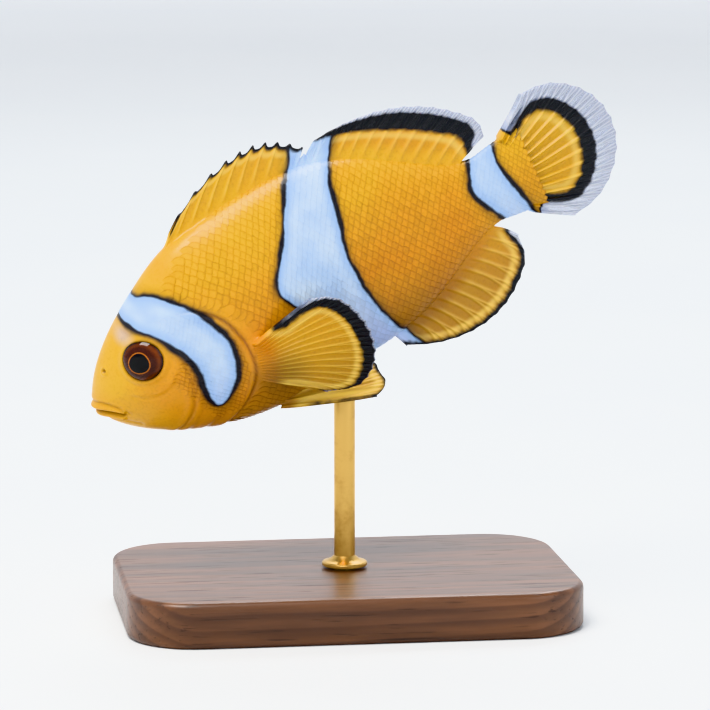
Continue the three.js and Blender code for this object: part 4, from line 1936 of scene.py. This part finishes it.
class FishColours(SharedGroup):
    """The markings of the fish, which the skin and the scales share.

    Bar is how deep in a white bar a place lies, Inner how deep in a fin's coloured inside and Rim
    how far into its clear margin, in millimetres and negative outside them. Tone is how yellow the
    place is, Crease_Shade how much shade is painted into its furrow, Thin how thin its fin and Ray
    how far up a fin's ray it is, all from 0 to 1. Spot is the place in the straight fish.
    """

    MARKS = ("Bar", "Inner", "Rim", "Tone", "Crease_Shade", "Thin", "Ray")
    RESULTS = ("Roughness", "Alpha", "Height")
    SIDE_VIEW = (0.0, 1.0, 1.0)
    BROW = (0.0, 9.5, 7.7)
    AXIL_SHADE = (0.0, 22.8, -7.4)

    def __init__(self, palette: Palette) -> None:
        """Makes the group.

        Args:
            palette: its colours.
        """
        inputs = {**dict.fromkeys(self.MARKS, "NodeSocketFloat"), "Spot": "NodeSocketVector"}
        outputs = {"Color": "NodeSocketColor", **dict.fromkeys(self.RESULTS, "NodeSocketFloat")}
        super().__init__("fish_colours", inputs, outputs)
        self.palette = palette
        self.spot, self.thin, self.ray = (self.given[title] for title in ("Spot", "Thin", "Ray"))
        self.up = self.graph.value("ShaderNodeSeparateXYZ", "Z", {0: self.spot})
        self.cloud = self.graph.noise(self.spot, 0.16, 3.0)
        self.fine = self.graph.noise(self.spot, 2.6, 3.0, 0.6)
        self.grain = self.graph.noise(self.spot, 9.0)
        self.wobble = self.graph.noise(self.spot, 0.8, 3.0).span(-0.22, 0.22)
        clear = (self.given["Rim"] + self.wobble).step(-0.2, 0.22)
        web = (1.0 - self.ray) * self.thin
        lost = clear * (web * 0.3 + 0.28) + web * 0.08
        marked = self.margins(self.barred(self.flesh()), clear)
        self.give(
            # Painted shade: furrows, slits, nostrils and the crevices round the eyes are darkened.
            Color=(self.given["Crease_Shade"] * 0.85).blend(marked, palette.deep, "MULTIPLY"),
            Roughness=self.fine.span(0.3, 0.46) + self.thin * 0.06,
            Alpha=1.0 - lost,
            Height=self.grain * 0.35 + self.fine * 0.65,
        )

    def flesh(self) -> Value:
        """Paints the flesh.

        Returns:
            Amber to yellow, mottled, with painted shade low down and in the axil, a pale brow and
            straw-coloured rays.
        """
        palette = self.palette
        tone = self.graph.maths("ADD", self.given["Tone"], self.cloud.span(-0.3, 0.3), clamp=True)
        flesh = tone.blend(palette.orange, palette.yellow)
        flesh = self.fine.step(0.42, 0.8).span(0.0, 0.22).blend(flesh, palette.deep)
        # Painted shade: dusky brown towards the belly, on the body and more faintly on the fins.
        low = self.up.step(-2.5, -13.0) * self.thin.span(0.66, 0.42)
        flesh = low.blend(flesh, palette.dusk_and_shade)
        side_view = self.spot.scaled(self.SIDE_VIEW)
        flesh = (side_view.distance(self.BROW).step(1.9, 0.2) * 0.45).blend(flesh, palette.rim)
        # Painted shadow: a dusky patch in the axil under the pectoral fin's root.
        flesh = (side_view.distance(self.AXIL_SHADE).step(5.2, 0.8) * 0.6).blend(flesh, palette.dusk_and_shade)
        stripe = abs(self.given["Inner"] - 0.8).step(0.8, 0.0)
        flesh = (stripe * self.thin * 0.7).blend(flesh, palette.straw)
        return (self.ray * 0.34).blend(flesh, palette.straw)

    def barred(self, flesh: Value) -> Value:
        """Paints the bars.

        Args:
            flesh: the colour outside them.

        Returns:
            The flesh with bluish white bars, painted lavender towards the belly as shade, each with a dark
            edging of uneven width.
        """
        palette = self.palette
        sway = self.graph.noise(self.spot, 0.3).span(-0.4, 0.4)
        bar = self.given["Bar"] + (sway + self.wobble * 0.35)
        uneven = self.graph.noise(self.spot, 0.22).step(0.3, 0.7).span(0.14, 0.6)
        pearl = self.cloud.step(0.35, 0.7).span(0.15, 0.7).blend(palette.white, palette.blue)
        pearl = self.grain.span(0.0, 0.25).blend(pearl, palette.blue)
        # Painted shade: the bars turn lavender towards the belly.
        pearl = (self.up.step(1.0, -13.0) * 0.75).blend(pearl, palette.shade_lavender)
        shaded = bar.step(1.5, 0.1).blend(pearl, palette.blue)
        soft = (bar.step(-1.7, -0.4) * 0.45).blend(flesh, palette.dusk_and_shade)
        marked = (bar + uneven).step(-0.42, 0.1).blend(soft, palette.edging)
        return bar.step(-0.12, 0.26).blend(marked, shaded)

    def margins(self, marked: Value, clear: Value) -> Value:
        """Paints the margins of the fins.

        Args:
            marked: the colour inside them.
            clear: where the clear rim is.

        Returns:
            The colour with a black band and a clear rim, in which the rays are paler.
        """
        inner = self.given["Inner"] + self.wobble * 1.6
        banded = inner.step(0.4, -0.3).blend(marked, self.palette.black)
        rimmed = (self.ray * 0.5).blend(self.palette.rim, self.palette.ray)
        return clear.blend(banded, rimmed)


@dataclass(frozen=True)
class Finish:
    """A material with a Principled shader."""

    name: str

    def inputs(self, graph: Graph) -> Inputs:
        """What the shader's inputs are set to and linked to."""
        raise NotImplementedError

    def make(self) -> Material:
        """Makes the material.

        Returns:
            The material, with its shader set and linked.
        """
        material = bpy.data.materials.new(self.name)
        material.use_nodes = True
        graph = Graph(material.node_tree)
        graph.tree.nodes.clear()
        surface = graph.value("ShaderNodeBsdfPrincipled", "BSDF", self.inputs(graph))
        graph.node("ShaderNodeOutputMaterial", {"Surface": surface})
        return material


@dataclass(frozen=True)
class FishFinish(Finish):
    """Moist, slightly translucent skin with the fish's markings.

    Scales add an edge and a shade of their own.
    """

    colours: FishColours
    scaled: bool = False

    def inputs(self, graph: Graph) -> Inputs:
        """Colours the skin with the marks that the mesh carries.

        Args:
            graph: the material's graph.

        Returns:
            The shader's inputs.
        """
        marks = {title: graph.attribute(title.lower()) for title in FishColours.MARKS}
        marks["Spot"] = graph.attribute("spot", "Vector")
        group = graph.node("ShaderNodeGroup", marks, node_tree=self.colours.tree).outputs
        tint, rough, clear, height = (
            Value(graph, group[title]) for title in ("Color", *FishColours.RESULTS)
        )
        if self.scaled:
            edge = graph.attribute("edge").step(0.8, 1.0)
            faint = graph.attribute("bar").step(-0.2, 0.3).span(0.32, 0.12)
            tint = (edge * faint).blend(tint, self.colours.palette.scale_edge, "MULTIPLY")
            shade = {"Color": tint, "Value": graph.attribute("own").span(0.9, 1.04)}
            tint = graph.value("ShaderNodeHueSaturation", "Color", shade)
        return {
            "Base Color": tint,
            "Roughness": rough,
            "Alpha": clear,
            "IOR": 1.36, "Coat Weight": 0.2 if self.scaled else 0.3, "Coat Roughness": 0.2,
            "Subsurface Weight": 0.0 if self.scaled else 0.1,
            "Subsurface Radius": (1.0, 0.5, 0.25), "Subsurface Scale": 0.0008,
            "Normal": graph.bump(height, 0.25, 0.00008),
        }


@dataclass(frozen=True)
class EyeFinish(Finish):
    """A clear wet dome over a dark pupil with a golden ring and a bronze iris, dark at its edge."""

    black: Colour = colour(2, 2, 3)
    gold: Colour = colour(206, 118, 34)
    iris: tuple[Colour, Colour] = (colour(20, 8, 6), colour(74, 28, 12))
    outer: tuple[Colour, Colour] = (colour(70, 28, 10), colour(130, 62, 18))
    edge: Colour = colour(30, 16, 8)

    def inputs(self, graph: Graph) -> Inputs:
        """Paints the iris by the distance from the pupil.

        Args:
            graph: the material's graph.

        Returns:
            The shader's inputs.
        """
        pupil, face = graph.attribute("pupil"), graph.attribute("face", "Vector")
        streak = graph.noise(face.scaled((3.5, 3.5, 1.0)), 1.6, 4.0, 0.65)
        shaken = pupil + streak.span(-0.1, 0.1)
        outer = graph.noise(face, 0.9).span(0.0, 1.0).blend(*self.outer)
        iris = shaken.step(0.6, 1.3).blend(streak.span(0.0, 1.0).blend(*self.iris), outer)
        iris = (abs(shaken - 0.08).step(0.1, 0.02) * 0.6).blend(iris, self.gold)
        iris = pupil.step(0.05, -0.03).blend(iris, self.black)
        return {
            "Base Color": graph.attribute("ring").step(2.2, 2.6).blend(iris, self.edge),
            "Roughness": 0.5, "Specular IOR Level": 0.0,
            "Coat Weight": 1.0, "Coat Roughness": 0.02, "Coat IOR": 1.4,
        }


@dataclass(frozen=True)
class WalnutFinish(Finish):
    """Walnut under a thin satin lacquer, with its grain along the base."""

    heart: Triple = (-0.012, 0.0, -0.034)
    rings: float = 640.0
    early: Colour = colour(108, 69, 42)
    late: Colour = colour(66, 39, 23)
    streaks: Colour = colour(56, 33, 20)
    pores: Colour = colour(28, 16, 10)

    def inputs(self, graph: Graph) -> Inputs:
        """Stretches rings and pores along the grain.

        Args:
            graph: the material's graph.

        Returns:
            The shader's inputs.
        """
        place = graph.place()
        warp = graph.noise(place.scaled((48.0, 9.0, 48.0)), 1.0)
        across = place.scaled((1.0, 0.03, 1.0)).distance(self.heart)
        year = graph.maths("FRACT", across * self.rings + warp * 3.4)
        late = year.step(0.1, 0.86) * year.step(1.0, 0.84)
        pores = graph.noise(place.scaled((2400.0, 110.0, 2400.0)), 1.0).step(0.6, 0.7)
        streak = graph.noise(place.scaled((420.0, 30.0, 420.0)), 1.0, 4.0, 0.6)
        wood = (late * 0.62).blend(self.early, self.late)
        wood = streak.step(0.3, 0.75).span(0.0, 0.7).blend(wood, self.streaks)
        return {
            "Base Color": (pores * 0.55).blend(wood, self.pores),
            "Roughness": pores * 0.2 + 0.38,
            "IOR": 1.45, "Coat Weight": 0.25, "Coat Roughness": 0.25,
            "Normal": graph.bump(late * 0.2 - pores, 0.35, 0.00006),
        }


@dataclass(frozen=True)
class BrassFinish(Finish):
    """Satin brass, turned on a lathe."""

    bright: Colour = colour(206, 168, 98)
    tarnish: Colour = colour(160, 118, 60)

    def inputs(self, graph: Graph) -> Inputs:
        """Adds fine turning marks and a little tarnish.

        Args:
            graph: the material's graph.

        Returns:
            The shader's inputs.
        """
        place = graph.place()
        turned = graph.noise(place.scaled((60.0, 60.0, 9000.0)), 1.0)
        stain = graph.noise(place, 260.0, 4.0, 0.6)
        return {
            "Base Color": stain.step(0.45, 0.8).blend(self.bright, self.tarnish),
            "Metallic": 1.0,
            "Roughness": turned.span(0.2, 0.34) + stain.span(0.0, 0.12),
            "Normal": graph.bump(turned, 0.2, 0.00003),
        }


@dataclass(frozen=True)
class FloorFinish(Finish):
    """Pale matt paper with painted light: it is painted paler, and glows, the farther it lies from the
    fish, most where it turns up into the wall.
    """

    mottle: tuple[Colour, Colour] = (colour(206, 208, 210), colour(212, 213, 213))
    far: Colour = colour(250, 250, 250)
    unlit: Colour = colour(0, 0, 0)
    lit: Colour = colour(226, 230, 236)
    centre: Triple = (0.0, 0.0, 0.0)

    def inputs(self, graph: Graph) -> Inputs:
        """Adds a faint mottle, and a painted paleness and a faint painted glow that grow with the distance.

        Args:
            graph: the material's graph.

        Returns:
            The shader's inputs.
        """
        place = graph.place()
        away = place.distance(self.centre)
        mottle = graph.noise(place, 14.0, 4.0, 0.6)
        return {
            # Painted light: paler and glowing the farther it lies from the fish.
            "Base Color": away.step(0.35, 1.9).blend(mottle.blend(*self.mottle), self.far),
            "Roughness": mottle.span(0.75, 0.9),
            "Emission Color": away.step(0.45, 1.7).blend(self.unlit, self.lit),
            "Emission Strength": 0.36,
            "Normal": graph.bump(graph.noise(place, 900.0), 0.1, 0.0001),
        }


# ---- Studio ----


@dataclass(frozen=True)
class SoftBox:
    """A square lamp, by its direction from the fish in degrees, distance and size in metres."""

    name: str
    azimuth: float
    elevation: float
    distance: float
    size: float
    watts: float
    tint: Triple


@dataclass
class Studio:
    """A pale seamless floor, soft lamps and the camera.

    The floor is flat up to a radius, turns up in a bend and goes on as a wall, all in metres.
    """

    target: Triple = (0.0, 0.0014, 0.0345)
    azimuth: float = 82.0
    elevation: float = 9.0
    distance: float = 0.52
    lens: float = 200.0
    sensor: float = 36.0
    clip: Pair = (0.01, 20.0)
    boxes: tuple[SoftBox, ...] = (
        SoftBox("key", 46, 60, 0.62, 0.34, 5.4, (1.0, 0.97, 0.93)),
        SoftBox("fill", 135, 22, 0.8, 0.6, 1.2, (0.9, 0.95, 1.0)),
        SoftBox("back", 255, 48, 0.7, 0.4, 3.2, (0.95, 0.98, 1.0)),
    )
    sky: Colour = colour(226, 232, 240)
    sky_strength: float = 0.46
    flat: float = 1.2
    bend: float = 0.8
    wall_top: float = 2.2
    sides: int = 96

    def aimed(self, data: bpy.types.ID, azimuth: float, elevation: float, distance: float) -> Piece:
        """Sets a lamp or the camera round the fish and turns it to the fish.

        Args:
            data: the lamp's or camera's data.
            azimuth: its direction in degrees, 0 at -Y and 90 at +X.
            elevation: its angle over the floor in degrees.
            distance: how far from the fish it is in metres.

        Returns:
            The new object.
        """
        a, e = math.radians(azimuth), math.radians(elevation)
        back = Vector((math.sin(a) * math.cos(e), -math.cos(a) * math.cos(e), math.sin(e)))
        item = linked(data.name, data)
        item.location = Vector(self.target) + back * distance
        item.rotation_mode = "QUATERNION"
        item.rotation_quaternion = (-back).to_track_quat("-Z", "Y")
        return item

    def floor(self, material: Material) -> None:
        """Makes a round floor that sweeps up into a wall, so that no horizon shows from any side.

        Args:
            material: its finish.
        """
        level = [(radius, 0.0) for radius in (0.002, *np.linspace(0.05, self.flat, 12))]
        bend = [
            (self.flat + self.bend * math.sin(turn), self.bend * (1 - math.cos(turn)))
            for turn in np.linspace(0.1, 1.57, 14)
        ]
        profile = [*level, *bend, (self.flat + self.bend, self.wall_top)]
        mesh = mesh_of("floor", turned_rings(profile, self.sides), ring_faces(len(profile), self.sides))
        mesh.materials.append(material)
        linked("floor", mesh)

    def lamps(self) -> None:
        """Sets up the soft boxes and a dim pale sky."""
        for box in self.boxes:
            light = bpy.data.lights.new(box.name, "AREA")
            light.shape, light.size = "SQUARE", box.size
            light.energy, light.color = box.watts, box.tint
            self.aimed(light, box.azimuth, box.elevation, box.distance)
        world = bpy.data.worlds.new("sky")
        world.use_nodes = True
        sky = world.node_tree.nodes["Background"]
        sky.inputs["Color"].default_value = self.sky
        sky.inputs["Strength"].default_value = self.sky_strength
        bpy.context.scene.world = world

    def camera(self) -> None:
        """Sets up the camera at the viewing angle of the fish."""
        lens = bpy.data.cameras.new("camera")
        lens.lens, lens.sensor_width = self.lens, self.sensor
        lens.clip_start, lens.clip_end = self.clip
        bpy.context.scene.camera = self.aimed(lens, self.azimuth, self.elevation, self.distance)

    def build(self, material: Material) -> None:
        """Sets the studio up.

        Args:
            material: the floor's finish.
        """
        self.floor(material)
        self.lamps()
        self.camera()
        bpy.context.scene.view_settings.view_transform = "Khronos PBR Neutral"


def main() -> None:
    """Builds the fish, its stand and the studio."""
    logging.basicConfig(level=logging.INFO, format="%(name)s: %(message)s")
    form = BodyForm()
    detail = HeadDetail(form)
    skin = Skin(form, detail, inset=0.22)
    posture = Posture(float(form.belly.reach(np.array(Posture.ROD_AT))))
    bars = BarField([HEAD_BAR, MIDDLE_BAR, TAIL_BAR])
    colours = FishColours(Palette())
    made = [FishSkin(skin, posture, bars).build(FishFinish("moist_skin", colours).make())]
    made += Coat(skin, posture, bars).build(FishFinish("scales", colours, scaled=True).make())
    iris = EyeFinish("eye_gloss").make()
    made += [Eye(detail, posture, side).build(iris) for side in (1, -1)]
    stand = Stand()
    made.append(stand.base(WalnutFinish("walnut").make()))
    made.append(stand.pin(BrassFinish("brass").make()))
    for piece in made:
        LOG.info("%s: %d faces", piece.name, len(piece.data.polygons))
    Studio().build(FloorFinish("paper").make())


if __name__ == "__main__":
    main()
